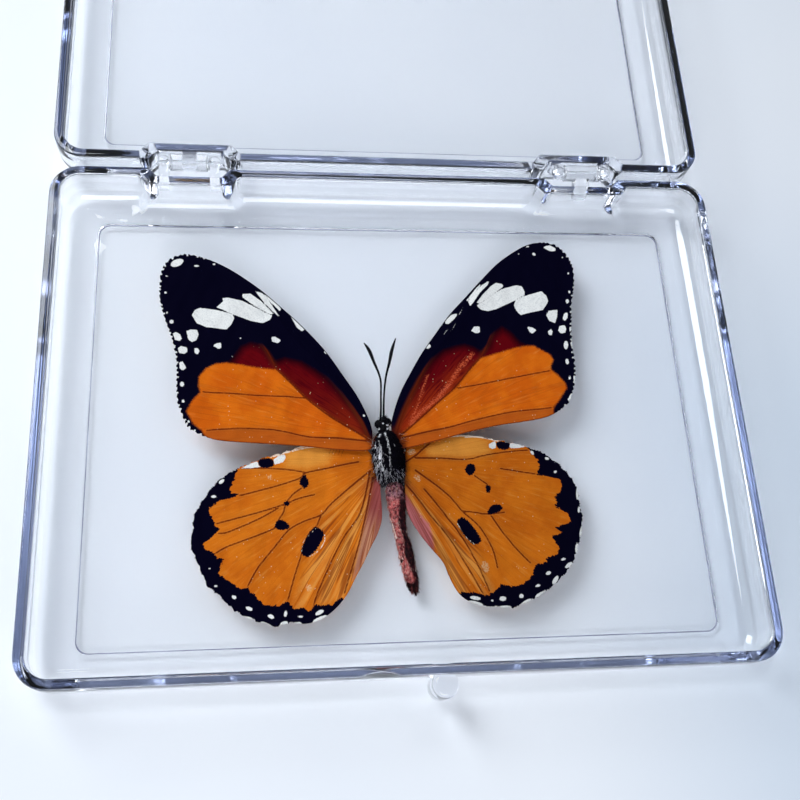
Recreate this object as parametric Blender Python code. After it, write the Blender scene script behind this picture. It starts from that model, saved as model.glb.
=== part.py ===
"""A dried butterfly, wings spread, lying in an open clear hinged display box.

Units are metres and +Z is up. The origin is the centre of the tray's flat underside.
+Y runs from the tray to the lid, which lies open and flat behind it. +X is the butterfly's right.
"""
import math

import bmesh
import bpy
from mathutils import Matrix, Vector

MM = 0.001

# Driving dimensions of the box, in millimetres. Both halves are the same moulding.
BOX_WIDTH = 120.0
HALF_DEPTH = 89.4
HALF_HEIGHT = 9.0
WALL = 1.7
CORNER_RADIUS = 5.3
RIM_ROUND = 0.3
FOOT_ROUND = 4.3
FLOOR = 1.5
STRIP_FLOOR = 1.8
INNER_FILLET = 2.7
PANEL_INSET = 7.5
PANEL_INSET_FRONT = 5.8
PANEL_CORNER = 2.0
PANEL_STEP = 0.3

# Hinge: two per box, one with ears on the tray and one with ears on the lid
HINGE_GAP = 1.9
HINGE_RISE = 0.15
HINGE_X = 36.2
POCKET_HALF_WIDTH = 6.4
POCKET_DEPTH = 1.65
POCKET_SLOPE = 2.0
EAR_OFFSET = 4.45
EAR_WIDTH = 1.7
EAR_TIP_RADIUS = 0.95
BALL_RADIUS = 1.25
SOCKET_RADIUS = 1.55
BARREL_RADIUS = 1.5
BARREL_HALF_LENGTH = 3.3
WEB_WIDTH = 2.5
WEB_TIP_RADIUS = 1.2
BRACKET_DROP = 4.0
BRACKET_ROOT = 0.6
BRACKET_ARC = (-70, 140)

# Catch: a knob in front of the wall and the shallow notch that the other half's knob closes on
KNOB_X = 4.1
KNOB_REACH = 1.4
KNOB_RADIUS = 2.1
KNOB_BOTTOM = 2.6
KNOB_EDGE = 0.3
KNOB_DOME = 0.9
NOTCH_CENTRE = -5.9
NOTCH_HALF_WIDTH = 3.1
NOTCH_DEPTH = 0.55
NOTCH_HEIGHT = 2.2

# Steps of each curve of the moulding, and sides of its round features
CORNER_STEPS = 5
SHOULDER_STEPS = 4
NOTCH_STEPS = 4
FOOT_STEPS = 4
FILLET_STEPS = 4
BRACKET_STEPS = 8
BALL_SIDES = 14
BARREL_SIDES = 20
KNOB_SIDES = 16
DOME_STEPS = 3

AXIS_Y = HALF_DEPTH / 2 + HINGE_GAP / 2
AXIS_Z = HALF_HEIGHT + HINGE_RISE
LID_CENTRE_Y = 2 * AXIS_Y

# Driving dimensions of the butterfly, in millimetres
WING_THICKNESS = 0.3
WING_RINGS = (0.7, 0.36)
OUTLINE_STEPS = 3
BODY_SIDES = 14
THIN_SIDES = 8

# Each wing: outline from the front of its root, round the tip and back, and height of its plane
FOREWING_LEFT = (
    (-5.2, -5.4), (-5.4, -3.2), (-9.7, 6.0), (-16.6, 15.4), (-24.0, 22.6), (-32.0, 27.9), (-37.4, 29.2),
    (-40.3, 27.4), (-41.1, 23.2), (-40.5, 18.0), (-38.5, 11.9), (-37.7, 6.2), (-37.5, 0.8), (-35.6, -3.4),
    (-31.2, -5.4), (-23.3, -6.1), (-14.0, -7.0), (-8.4, -7.4), (-5.6, -7.1),
)
FOREWING_RIGHT = (
    (-0.7, -5.3), (-1.2, -2.6), (0.6, 4.2), (4.3, 10.5), (9.8, 17.9), (16.4, 25.2), (22.3, 30.5),
    (28.6, 32.9), (32.6, 30.8), (33.6, 25.6), (32.1, 18.6), (31.6, 11.5), (31.5, 5.0), (28.9, -0.2),
    (21.8, -2.5), (11.3, -4.4), (3.4, -6.4), (0.2, -6.9),
)
HINDWING_LEFT = (
    (-5.1, -11.6), (-5.4, -8.4), (-6.9, -6.6), (-10.1, -5.9), (-13.8, -5.9), (-19.5, -6.9), (-26.7, -9.7),
    (-32.3, -14.1), (-34.7, -19.6), (-34.7, -24.4), (-31.9, -29.8), (-27.2, -33.9), (-21.2, -35.9),
    (-15.2, -35.3), (-10.6, -31.8), (-6.9, -25.5), (-4.4, -20.0), (-4.3, -14.9),
)
HINDWING_RIGHT = (
    (0.4, -11.4), (0.2, -8.6), (1.1, -6.5), (3.8, -5.6), (7.5, -4.9), (13.2, -4.8), (19.7, -6.2),
    (26.4, -9.6), (29.7, -14.7), (29.9, -20.6), (27.5, -27.2), (22.8, -31.7), (16.8, -34.2), (10.6, -33.6),
    (6.6, -29.4), (2.7, -22.9), (0.3, -17.4),
)
FOREWING_HEIGHT = 5.6
HINDWING_HEIGHT = 4.8
WING_LIFT = 0.5
WING_REACH = 38.0
BODY_X = -2.6

# Body: centre, half sizes and heights of its parts, along an axis that leans a little to the right
BODY_LEAN = math.radians(6.5)
HEAD_CENTRE = (-3.2, -2.75, 5.0)
HEAD_HALF = (1.05, 1.12, 1.15)
EYE_OFFSET = (0.78, 0.22, 0.1)
EYE_RADIUS = 0.72
THORAX_ROUTE = (
    (-3.1, -4.25, 5.0), (-2.95, -5.2, 5.0), (-2.8, -6.5, 4.95), (-2.63, -8.0, 4.95), (-2.5, -9.5, 4.95),
    (-2.42, -10.8, 4.9), (-2.28, -12.0, 4.8), (-2.15, -12.65, 4.75),
)
THORAX_RADII = (1.25, 1.88, 2.3, 2.42, 2.42, 2.33, 1.95, 1.35)
THORAX_RINGS = 14
ABDOMEN_ROUTE = (
    (-1.95, -12.95, 4.6), (-1.8, -13.9, 4.5), (-1.56, -16.0, 4.3), (-1.34, -19.1, 4.0), (-0.95, -21.45, 3.75),
    (-0.58, -23.1, 3.6), (-0.14, -25.4, 3.4), (0.22, -27.5, 3.2), (0.67, -29.6, 3.0), (0.93, -30.9, 2.95),
)
ABDOMEN_RADII = (1.0, 1.5, 1.5, 1.25, 1.05, 1.18, 1.22, 1.12, 0.95, 0.4)
ABDOMEN_RINGS = 20
ANTENNA_LEFT = ((-3.65, -1.75, 6.15), (-3.4, 4.1, 6.7), (-4.3, 8.2, 7.0), (-6.0, 11.5, 7.2))
ANTENNA_RIGHT = ((-2.85, -1.65, 6.15), (-2.8, 4.1, 6.7), (-1.9, 8.2, 7.0), (-0.5, 12.5, 7.2))
ANTENNA_RADIUS = 0.16
CLUB_RADIUS = 0.3
ANTENNA_RINGS = 14
MIDDLE_LEG = ((1.5, -7.0, 2.55), (3.2, -4.4, 2.2), (3.5, -6.4, 2.1), (2.6, -10.6, 2.05), (1.9, -14.2, 2.05))
HIND_LEG = ((1.2, -10.6, 2.5), (2.6, -13.0, 2.3), (3.0, -15.4, 2.15), (2.4, -19.0, 2.05), (2.2, -22.4, 2.05))
LEG_RADII = (0.3, 0.24, 0.2, 0.15, 0.1)
LEG_RINGS = 12

# Colour, roughness, metallic and transmission of each kind of surface
CLEAR_PLASTIC = ("clear_plastic", (0.86, 0.87, 0.95), 0.06, 0.0, 0.9)
WING_SCALES = ("wing_scales", (0.56, 0.19, 0.03), 0.62, 0.0, 0.0)
DARK_BODY = ("dark_body", (0.02, 0.018, 0.03), 0.7, 0.0, 0.0)
PALE_BODY = ("pale_body", (0.26, 0.09, 0.075), 0.75, 0.0, 0.0)


def clear_scene():
    for obj in list(bpy.data.objects):
        bpy.data.objects.remove(obj, do_unlink=True)


def material(kind):
    """The named Principled material, made once."""
    name, colour, roughness, metallic, transmission = kind
    found = bpy.data.materials.get(name)
    if found:
        return found
    made = bpy.data.materials.new(name)
    made.use_nodes = True
    shader = made.node_tree.nodes["Principled BSDF"]
    shader.inputs["Base Color"].default_value = (*colour, 1.0)
    shader.inputs["Roughness"].default_value = roughness
    shader.inputs["Metallic"].default_value = metallic
    shader.inputs["Transmission Weight"].default_value = transmission
    return made


def finish(name, bm, kind, smooth_angle=40.0):
    """Turn a bmesh in millimetres into a named object in metres."""
    bmesh.ops.scale(bm, vec=(MM, MM, MM), verts=bm.verts)
    bmesh.ops.recalc_face_normals(bm, faces=bm.faces)
    mesh = bpy.data.meshes.new(name)
    bm.to_mesh(mesh)
    bm.free()
    mesh.shade_smooth()
    mesh.set_sharp_from_angle(angle=math.radians(smooth_angle))
    mesh.materials.append(material(kind))
    obj = bpy.data.objects.new(name, mesh)
    bpy.context.collection.objects.link(obj)
    return obj


def skin(bm, loops):
    """Join equal loops of points into one closed skin, capped at both ends."""
    rings = [[bm.verts.new(point) for point in loop] for loop in loops]
    for lower, upper in zip(rings, rings[1:]):
        for i, vert in enumerate(lower):
            j = (i + 1) % len(lower)
            bm.faces.new((vert, lower[j], upper[j], upper[i]))
    bm.faces.new(list(reversed(rings[0])))
    bm.faces.new(rings[-1])


def arc(centre, radius, start, end, steps):
    """Points on an arc, angles in degrees."""
    points = []
    for i in range(steps + 1):
        angle = math.radians(start + (end - start) * i / steps)
        points.append((centre[0] + radius * math.cos(angle), centre[1] + radius * math.sin(angle)))
    return points


def ease(t):
    """A smooth step from 0 to 1."""
    t = min(max(t, 0.0), 1.0)
    return t * t * (3 - 2 * t)


def pocket_edge(centre, edge, inset, depth):
    """Back edge across one hinge pocket, from its right shoulder to its left one."""
    reach = POCKET_HALF_WIDTH + min(inset, WALL + INNER_FILLET)
    points = []
    for i in range(SHOULDER_STEPS + 1):
        t = i / SHOULDER_STEPS
        points.append((centre + reach + POCKET_SLOPE * (0.5 - t), edge - depth * ease(t)))
    for i in range(SHOULDER_STEPS + 1):
        t = i / SHOULDER_STEPS
        points.append((centre - reach + POCKET_SLOPE * (0.5 - t), edge - depth * ease(1 - t)))
    return points


def outline(inset, inset_front, corner, pocket_depth, notch_depth):
    """Outline of the moulding moved in by an inset, anticlockwise from the front left corner."""
    side = BOX_WIDTH / 2 - inset
    back = HALF_DEPTH / 2 - inset
    front = -HALF_DEPTH / 2 + inset_front
    points = arc((-side + corner, front + corner), corner, 180, 270, CORNER_STEPS)
    for i in range(NOTCH_STEPS + 1):
        t = 2 * i / NOTCH_STEPS - 1
        points.append((NOTCH_CENTRE + NOTCH_HALF_WIDTH * t, front + notch_depth * (1 - t * t)))
    points += arc((side - corner, front + corner), corner, 270, 360, CORNER_STEPS)
    points += arc((side - corner, back - corner), corner, 0, 90, CORNER_STEPS)
    points += pocket_edge(HINGE_X, back, inset, pocket_depth)
    points += pocket_edge(-HINGE_X, back, inset, pocket_depth)
    points += arc((-side + corner, back - corner), corner, 90, 180, CORNER_STEPS)
    return points


def wall_loop(inset, height, notch_depth=0.0):
    """One level of the wall: the outline at this inset, pockets included."""
    corner = max(CORNER_RADIUS - inset, PANEL_STEP)
    flat = outline(inset, inset, corner, POCKET_DEPTH, notch_depth)
    return [(x, y, height) for x, y in flat]


def panel_loop(extra, height):
    """The edge of the floor's rectangular panel."""
    flat = outline(PANEL_INSET + extra, PANEL_INSET_FRONT + extra, PANEL_CORNER, 0.0, 0.0)
    return [(x, y, height) for x, y in flat]


def shell_loops():
    """The moulding's section, from the underside up the outside, over the rim and down to the floor panel."""
    foot = [
        (FOOT_ROUND + x, FOOT_ROUND + z)
        for x, z in arc((0, 0), FOOT_ROUND, 270, 180, FOOT_STEPS)
    ]
    loops = [wall_loop(inset, height) for inset, height in foot]
    loops.append(wall_loop(0.0, HALF_HEIGHT - NOTCH_HEIGHT))
    loops.append(wall_loop(0.0, HALF_HEIGHT - RIM_ROUND, NOTCH_DEPTH))
    loops.append(wall_loop(RIM_ROUND, HALF_HEIGHT, NOTCH_DEPTH))
    loops.append(wall_loop(WALL - RIM_ROUND, HALF_HEIGHT))
    loops.append(wall_loop(WALL, HALF_HEIGHT - RIM_ROUND))
    centre = (WALL + INNER_FILLET, STRIP_FLOOR + INNER_FILLET)
    loops += [wall_loop(inset, height) for inset, height in arc(centre, INNER_FILLET, 180, 270, FILLET_STEPS)]
    loops.append(panel_loop(0.0, STRIP_FLOOR))
    loops.append(panel_loop(PANEL_STEP, FLOOR))
    return loops


def bracket(bm, x, width, end_radius):
    """A rib from a pocket's outer wall up to the hinge axis, rounded about the axis."""
    wall_y = HALF_DEPTH / 2 - POCKET_DEPTH - BRACKET_ROOT
    tip = arc((AXIS_Y, AXIS_Z), end_radius, *BRACKET_ARC, BRACKET_STEPS)
    section = [(wall_y, HALF_HEIGHT - BRACKET_DROP), *tip, (wall_y, HALF_HEIGHT - RIM_ROUND)]
    skin(bm, [[(side, y, z) for y, z in section] for side in (x - width / 2, x + width / 2)])


def ball(bm, x, radius):
    """The ball on an ear, or the socket that it turns in."""
    place = Matrix.Translation((x, AXIS_Y, AXIS_Z)) @ Matrix.Rotation(math.pi / 2, 4, "Y")
    bmesh.ops.create_uvsphere(
        bm, u_segments=BALL_SIDES, v_segments=BALL_SIDES // 2 + 1, radius=radius, matrix=place,
    )


def barrel(bm, x):
    """The knuckle that turns between the two ears."""
    place = Matrix.Translation((x, AXIS_Y, AXIS_Z)) @ Matrix.Rotation(math.pi / 2, 4, "Y")
    bmesh.ops.create_cone(
        bm, cap_ends=True, segments=BARREL_SIDES, radius1=BARREL_RADIUS, radius2=BARREL_RADIUS,
        depth=2 * BARREL_HALF_LENGTH, matrix=place,
    )


def knob(bm):
    """The catch knob: an upright stub in front of the wall, with a rounded top."""
    centre_y = -HALF_DEPTH / 2 - KNOB_REACH
    levels = [(KNOB_RADIUS - KNOB_EDGE, KNOB_BOTTOM), (KNOB_RADIUS, KNOB_BOTTOM + KNOB_EDGE)]
    dome_centre = (KNOB_RADIUS - KNOB_DOME, HALF_HEIGHT - RIM_ROUND - KNOB_DOME)
    levels += arc(dome_centre, KNOB_DOME, 0, 90, DOME_STEPS)
    last = 360 - 360 / KNOB_SIDES
    loops = [
        [(KNOB_X + x, centre_y + y, height) for x, y in arc((0, 0), radius, 0, last, KNOB_SIDES - 1)]
        for radius, height in levels
    ]
    skin(bm, loops)


def solid(name, kind, build, *args):
    """A helper object built by one of the functions above, used only in a Boolean."""
    bm = bmesh.new()
    build(bm, *args)
    obj = finish(name, bm, kind)
    obj.hide_render = True
    obj.display_type = "WIRE"
    return obj


def combine(target, tool, operation):
    """Apply an exact Boolean and drop the helper."""
    modifier = target.modifiers.new(operation.lower(), "BOOLEAN")
    modifier.operation = operation
    modifier.solver = "EXACT"
    modifier.object = tool
    bpy.context.view_layer.objects.active = target
    bpy.ops.object.modifier_apply(modifier=modifier.name)
    bpy.data.objects.remove(tool, do_unlink=True)


def moulding(name):
    """One half of the box: shell, ears on its left hinge, barrel on its right hinge, and knob."""
    bm = bmesh.new()
    skin(bm, shell_loops())
    half = finish(name, bm, CLEAR_PLASTIC)
    for side in (-EAR_OFFSET, EAR_OFFSET):
        rib = solid("ear_rib", CLEAR_PLASTIC, bracket, -HINGE_X + side, EAR_WIDTH, EAR_TIP_RADIUS)
        combine(half, rib, "UNION")
        combine(half, solid("ear_ball", CLEAR_PLASTIC, ball, -HINGE_X + side, BALL_RADIUS), "UNION")
    web = solid("barrel_web", CLEAR_PLASTIC, bracket, HINGE_X, WEB_WIDTH, WEB_TIP_RADIUS)
    combine(half, web, "UNION")
    combine(half, solid("barrel_body", CLEAR_PLASTIC, barrel, HINGE_X), "UNION")
    for side in (-EAR_OFFSET, EAR_OFFSET):
        socket = solid("socket", CLEAR_PLASTIC, ball, HINGE_X + side, SOCKET_RADIUS)
        combine(half, socket, "DIFFERENCE")
    combine(half, solid("catch_knob", CLEAR_PLASTIC, knob), "UNION")
    half.data.shade_smooth()
    half.data.set_sharp_from_angle(angle=math.radians(30))
    return half


def curve_point(points, i, t, closed):
    """A point on a smooth curve through the given points, between point i and the next."""
    count = len(points)
    if closed:
        p = [Vector(points[(i + k) % count]) for k in (-1, 0, 1, 2)]
    else:
        p = [Vector(points[min(max(i + k, 0), count - 1)]) for k in (-1, 0, 1, 2)]
    return 0.5 * (
        2 * p[1] + (p[2] - p[0]) * t + (2 * p[0] - 5 * p[1] + 4 * p[2] - p[3]) * t * t
        + (3 * p[1] - p[0] - 3 * p[2] + p[3]) * t ** 3
    )


def smooth_outline(points):
    """The closed outline of a wing as a fine polygon."""
    return [
        curve_point(points, i, step / OUTLINE_STEPS, True)
        for i in range(len(points)) for step in range(OUTLINE_STEPS)
    ]


def wing_height(x, base):
    """Height of a wing's middle surface, rising gently away from the body."""
    away = abs(x - BODY_X) / WING_REACH
    return base + WING_LIFT * away * away


def wing(name, points, base):
    """A wing: a thin curved plate with its true outline."""
    rim = smooth_outline(points)
    middle = sum(rim, Vector((0, 0))) / len(rim)
    bm = bmesh.new()
    sheets = []
    for side in (-0.5, 0.5):
        rings = []
        for scale in (1.0, *WING_RINGS):
            ring = []
            for point in rim:
                x, y = middle + (point - middle) * scale
                ring.append(bm.verts.new((x, y, wing_height(x, base) + side * WING_THICKNESS)))
            rings.append(ring)
        centre = bm.verts.new((middle.x, middle.y, wing_height(middle.x, base) + side * WING_THICKNESS))
        sheets.append((rings, centre))
    count = len(rim)
    for rings, centre in sheets:
        for outer, inner in zip(rings, rings[1:]):
            for i in range(count):
                j = (i + 1) % count
                bm.faces.new((outer[i], outer[j], inner[j], inner[i]))
        for i in range(count):
            bm.faces.new((rings[-1][i], rings[-1][(i + 1) % count], centre))
    bottom, top = sheets[0][0][0], sheets[1][0][0]
    for i in range(count):
        j = (i + 1) % count
        bm.faces.new((bottom[i], bottom[j], top[j], top[i]))
    return finish(name, bm, WING_SCALES)


def ellipsoid(bm, centre, half, lean=0.0, segments=BODY_SIDES):
    place = Matrix.Translation(centre) @ Matrix.Rotation(lean, 4, "Z") @ Matrix.Diagonal((*half, 1.0))
    bmesh.ops.create_uvsphere(bm, u_segments=segments, v_segments=segments // 2 + 2, radius=1.0, matrix=place)


def tube(bm, route, radii, rings, sides):
    """A round tapering body along a smooth curve through the route's points, closed at both ends."""
    spans = len(route) - 1
    centres = []
    sizes = []
    for step in range(rings + 1):
        along = step / rings * spans
        i = min(int(along), spans - 1)
        centres.append(curve_point(route, i, along - i, False))
        sizes.append(curve_point([(radius, 0) for radius in radii], i, along - i, False).x)
    loops = []
    for step, (centre, size) in enumerate(zip(centres, sizes)):
        forward = (centres[min(step + 1, rings)] - centres[max(step - 1, 0)]).normalized()
        across = forward.cross(Vector((0, 0, 1))).normalized()
        up = across.cross(forward)
        circle = arc((0, 0), size, 0, 360 - 360 / sides, sides - 1)
        loops.append([centre + across * x + up * y for x, y in circle])
    skin(bm, loops)


def body_tube(name, route, radii, rings, sides, kind):
    bm = bmesh.new()
    tube(bm, route, radii, rings, sides)
    return finish(name, bm, kind)


def head():
    bm = bmesh.new()
    ellipsoid(bm, HEAD_CENTRE, HEAD_HALF, BODY_LEAN)
    obj = finish("head", bm, DARK_BODY)
    for side in (-1, 1):
        centre = Vector(HEAD_CENTRE) + Vector((side * EYE_OFFSET[0], EYE_OFFSET[1], EYE_OFFSET[2]))
        combine(obj, solid("eye", DARK_BODY, ellipsoid, centre, (EYE_RADIUS,) * 3), "UNION")
    return obj


def antenna(name, route):
    """A thin stalk that swells into a club at its end."""
    radii = (ANTENNA_RADIUS, ANTENNA_RADIUS, ANTENNA_RADIUS, CLUB_RADIUS)
    return body_tube(name, route, radii, ANTENNA_RINGS, THIN_SIDES, DARK_BODY)


def leg(name, route, side):
    """A folded leg; the route is given for the right side, measured from the body's middle line."""
    placed = [(BODY_X + side * x, y, z) for x, y, z in route]
    return body_tube(name, placed, LEG_RADII, LEG_RINGS, THIN_SIDES, DARK_BODY)


def build_box():
    """The tray at the origin and the lid, the same moulding half a turn round, hung on the hinge axis."""
    moulding("tray")
    lid = moulding("lid")
    hinge = bpy.data.objects.new("lid_hinge", None)
    hinge.location = (0, AXIS_Y * MM, AXIS_Z * MM)
    bpy.context.collection.objects.link(hinge)
    lid.parent = hinge
    lid.rotation_euler = (0, 0, math.pi)
    lid.location = (0, (LID_CENTRE_Y - AXIS_Y) * MM, -AXIS_Z * MM)


def build_butterfly():
    head()
    body_tube("thorax", THORAX_ROUTE, THORAX_RADII, THORAX_RINGS, BODY_SIDES, DARK_BODY)
    body_tube("abdomen", ABDOMEN_ROUTE, ABDOMEN_RADII, ABDOMEN_RINGS, BODY_SIDES, PALE_BODY)
    wing("forewing_left", FOREWING_LEFT, FOREWING_HEIGHT)
    wing("forewing_right", FOREWING_RIGHT, FOREWING_HEIGHT)
    wing("hindwing_left", HINDWING_LEFT, HINDWING_HEIGHT)
    wing("hindwing_right", HINDWING_RIGHT, HINDWING_HEIGHT)
    antenna("antenna_left", ANTENNA_LEFT)
    antenna("antenna_right", ANTENNA_RIGHT)
    for word, side in (("left", -1), ("right", 1)):
        leg(f"leg_middle_{word}", MIDDLE_LEG, side)
        leg(f"leg_hind_{word}", HIND_LEG, side)


clear_scene()
build_box()
build_butterfly()
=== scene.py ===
"""Looks of the dried butterfly in its open clear display box.

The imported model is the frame. Everything below is in millimetres until a mesh is made, and a mesh is in
metres. Markings are placed by the pixel where the photograph, 800 by 800, shows them: each pixel's line of
sight is followed from the camera down to the wing it falls on.
"""

import math

import bmesh
import bpy
import numpy as np
from mathutils import Matrix, Vector, noise
from mathutils.geometry import delaunay_2d_cdt


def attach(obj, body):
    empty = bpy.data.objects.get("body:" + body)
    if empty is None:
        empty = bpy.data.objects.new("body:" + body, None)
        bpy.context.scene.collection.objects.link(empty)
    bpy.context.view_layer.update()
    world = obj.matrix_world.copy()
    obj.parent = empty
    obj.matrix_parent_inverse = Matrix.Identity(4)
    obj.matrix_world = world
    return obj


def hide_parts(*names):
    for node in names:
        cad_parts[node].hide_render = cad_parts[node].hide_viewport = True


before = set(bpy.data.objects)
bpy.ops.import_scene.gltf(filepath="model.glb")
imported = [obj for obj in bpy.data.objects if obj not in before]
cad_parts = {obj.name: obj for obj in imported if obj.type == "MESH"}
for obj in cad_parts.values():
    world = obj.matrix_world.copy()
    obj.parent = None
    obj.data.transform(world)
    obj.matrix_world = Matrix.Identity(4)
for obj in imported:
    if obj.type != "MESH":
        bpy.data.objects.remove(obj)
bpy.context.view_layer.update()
MM = 0.001

# Camera: the photograph's side in pixels, focal length in pixels, place in millimetres and turn in radians
PHOTO_SIDE = 800
FOCAL_PIXELS = 1018.57
CAMERA_PLACE = (-24.21, -60.35, 167.03)
CAMERA_TURN = (0.36967, -0.12778, -0.05365)
SENSOR = 36.0
CLIP_RANGE = (0.005, 20.0)
TURN_MATRIX = (
    Matrix.Rotation(CAMERA_TURN[2], 3, "Z") @ Matrix.Rotation(CAMERA_TURN[1], 3, "Y")
    @ Matrix.Rotation(CAMERA_TURN[0], 3, "X")
)

# Table, in metres: its half side, its place below the box, and where painted shade darkens it to the right
# and front
TABLE_HALF = 1.6
FLOOR_DROP = -0.0001
TABLE_SHADE_X = (0.015, 0.08)
TABLE_SHADE_Y = (0.06, -0.01)
TABLE_ROUGHNESS = 0.45

# Light: the sky's colours from the horizon, 0, to straight up, 1, its glow on the left, and two soft lamps
WORLD_STRENGTH = 0.445
SKY = (
    (0.0, (0.55, 0.58, 0.7, 1)), (0.12, (0.26, 0.29, 0.42, 1)), (0.3, (0.6, 0.65, 0.76, 1)),
    (0.5, (0.96, 1.0, 1.08, 1)), (0.75, (0.62, 0.67, 0.73, 1)), (1.0, (0.44, 0.48, 0.54, 1)),
)
LEFT_GLOW = (1.15, 1.28, 1.38, 1.0)
LEFT_GLOW_FROM = -0.25
LEFT_GLOW_FULL = -0.8
LAMPS = (
    ("window", (-0.36, 0.30, 0.42), (0, 0.04, 0), (0.34, 0.42), 2.85, (0.92, 0.97, 1.0)),
    ("room", (-0.06, -0.38, 0.28), (0, -0.14, 0), (0.36, 0.24), 0.95, (0.97, 0.98, 1.0)),
)

# Clear plastic: its tint, how strongly it absorbs, its refraction and roughness, and the bounces of light
PLASTIC_TINT = (0.48, 0.6, 0.93, 1.0)
PLASTIC_DENSITY = 12.0
PLASTIC_IOR = 1.57
PLASTIC_ROUGHNESS = 0.015
PLASTIC_BOUNCES = 16

# Box, the same driving dimensions as its solids
BOX_WIDTH = 120.0
HALF_DEPTH = 89.4
HALF_HEIGHT = 9.0
WALL = 1.7
CORNER_RADIUS = 5.3
RIM_ROUND = 0.3
FOOT_ROUND = 4.3
FLOOR = 1.5
STRIP_FLOOR = 1.8
INNER_FILLET = 2.7
PANEL_INSET = 7.5
PANEL_INSET_FRONT = 5.8
PANEL_CORNER = 2.0
PANEL_STEP = 0.12
HINGE_GAP = 1.9
HINGE_RISE = 0.15
HINGE_X = 36.2
POCKET_HALF_WIDTH = 6.4
POCKET_DEPTH = 1.65
POCKET_SLOPE = 2.0
EAR_OFFSET = 4.45
EAR_WIDTH = 1.7
EAR_TIP_RADIUS = 0.95
BALL_RADIUS = 1.25
SOCKET_RADIUS = 1.55
BARREL_RADIUS = 1.5
BARREL_HALF_LENGTH = 3.3
WEB_WIDTH = 2.5
WEB_TIP_RADIUS = 1.2
BRACKET_DROP = 4.0
BRACKET_ROOT = 0.6
BRACKET_ARC = (-70, 140)
KNOB_X = 4.1
KNOB_REACH = 1.4
KNOB_RADIUS = 2.1
KNOB_BOTTOM = 2.6
KNOB_EDGE = 0.3
KNOB_DOME = 0.9
NOTCH_CENTRE = -5.9
NOTCH_HALF_WIDTH = 3.1
NOTCH_DEPTH = 0.55
NOTCH_HEIGHT = 2.2
AXIS_Y = HALF_DEPTH / 2 + HINGE_GAP / 2
AXIS_Z = HALF_HEIGHT + HINGE_RISE
CORNER_STEPS = 14
SHOULDER_STEPS = 10
NOTCH_STEPS = 12
FOOT_STEPS = 10
ROUND_STEPS = 4
FILLET_STEPS = 10
BRACKET_STEPS = 20
BALL_SIDES = 36
BARREL_SIDES = 48
KNOB_SIDES = 48
DOME_STEPS = 8
BOX_SHARP_ANGLE = math.radians(32)

# Fine dark bead round the floor panel: painted shade for the dark line that the clear step round it shows
PANEL_LINE_WIDTH = 0.16
PANEL_LINE_HEIGHT = 0.06

# Wings, as their solids
FOREWING_HEIGHT = 5.6
HINDWING_HEIGHT = 4.8
WING_LIFT = 0.5
WING_REACH = 38.0
BODY_X = -2.6
WING_SKIN = 0.12
FORE_ROOT_Y = -6.0
HIND_ROOT_Y = -9.0
FAN_REACH = 22.0

# Mesh of the wings: spacing inside and along the rim, rows per spacing, and the random shift of a point
WING_GRAIN = 0.26
RIM_GRAIN = 0.15
ROW_STEP = 0.866
WING_SHIFT = 0.02

# Outer margins: distance from the body at which the teeth start, length and height of one, and the fraying
FORE_TEETH = (28.5, 0.95, 0.24)
FORE_FRAY = (-0.1, 0.06)
HIND_TEETH = (13.0, 2.1, 0.18)
HIND_FRAY = (-0.17, 0.1)
TEETH_FADE = 4.0
TICK_RADIUS = 0.17
TICK_SHARE = 0.6

# Relief of the wings: height and half width of a vein, depth and reach of the pleats, two sizes of waves
VEIN_RIDGE = (0.09, 0.16)
PLEAT = (0.16, 2.2)
WAVES = ((0.12, 9.0), (0.05, 3.2))
EDGE_DROP = 0.1
EDGE_REACH = 1.5
WING_SHARP_ANGLE = math.radians(60)
FAR = 50.0

# Steps of a smooth curve between two of its points, sides of an oval mark, and waves in a gentle noise
OUTLINE_STEPS = 6
SPOT_STEPS = 4
ROUTE_STEPS = 40
OVAL_SIDES = 14
NOISE_WAVES = 7

# Body, as its solids
HEAD_CENTRE = (-3.2, -2.75, 5.0)
HEAD_HALF = (1.05, 1.12, 1.15)
HEAD_TURN = math.radians(14)
LOBE_SIDES = (40, 26)
EYE_HALF = (0.7, 0.76, 0.74)
HEAD_LOBES = (
    (HEAD_CENTRE, HEAD_HALF, False), ((-3.96, -2.7, 5.15), EYE_HALF, True),
    ((-2.44, -2.35, 5.15), EYE_HALF, True), ((-2.95, -1.75, 5.2), (0.45, 0.5, 0.5), False),
    ((-3.12, -3.75, 5.0), (0.98, 0.7, 0.9), False),
)
THORAX_ROUTE = (
    (-3.1, -4.25, 5.0), (-2.95, -5.2, 5.0), (-2.8, -6.5, 4.95), (-2.63, -8.0, 4.95), (-2.5, -9.5, 4.95),
    (-2.42, -10.8, 4.9), (-2.28, -12.0, 4.8), (-2.15, -12.65, 4.75),
)
THORAX_RADII = (1.25, 1.88, 2.3, 2.42, 2.42, 2.33, 1.95, 1.35)
ABDOMEN_ROUTE = (
    (-1.95, -12.95, 4.6), (-1.8, -13.9, 4.5), (-1.56, -16.0, 4.3), (-1.34, -19.1, 4.0),
    (-0.95, -21.45, 3.75), (-0.58, -23.1, 3.6), (-0.14, -25.4, 3.4), (0.22, -27.5, 3.2),
    (0.67, -29.6, 3.0), (0.93, -30.9, 2.95),
)
ABDOMEN_RADII = (1.0, 1.5, 1.5, 1.25, 1.05, 1.18, 1.22, 1.12, 0.95, 0.4)
MIDDLE_LEG = ((1.5, -7.0, 2.55), (3.2, -4.4, 2.2), (3.5, -6.4, 2.1), (2.6, -10.6, 2.05), (1.9, -14.2, 2.05))
HIND_LEG = ((1.2, -10.6, 2.5), (2.6, -13.0, 2.3), (3.0, -15.4, 2.15), (2.4, -18.6, 2.05), (2.4, -21.0, 2.05))
LEG_RADII = (0.3, 0.24, 0.2, 0.15, 0.1)
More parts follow.
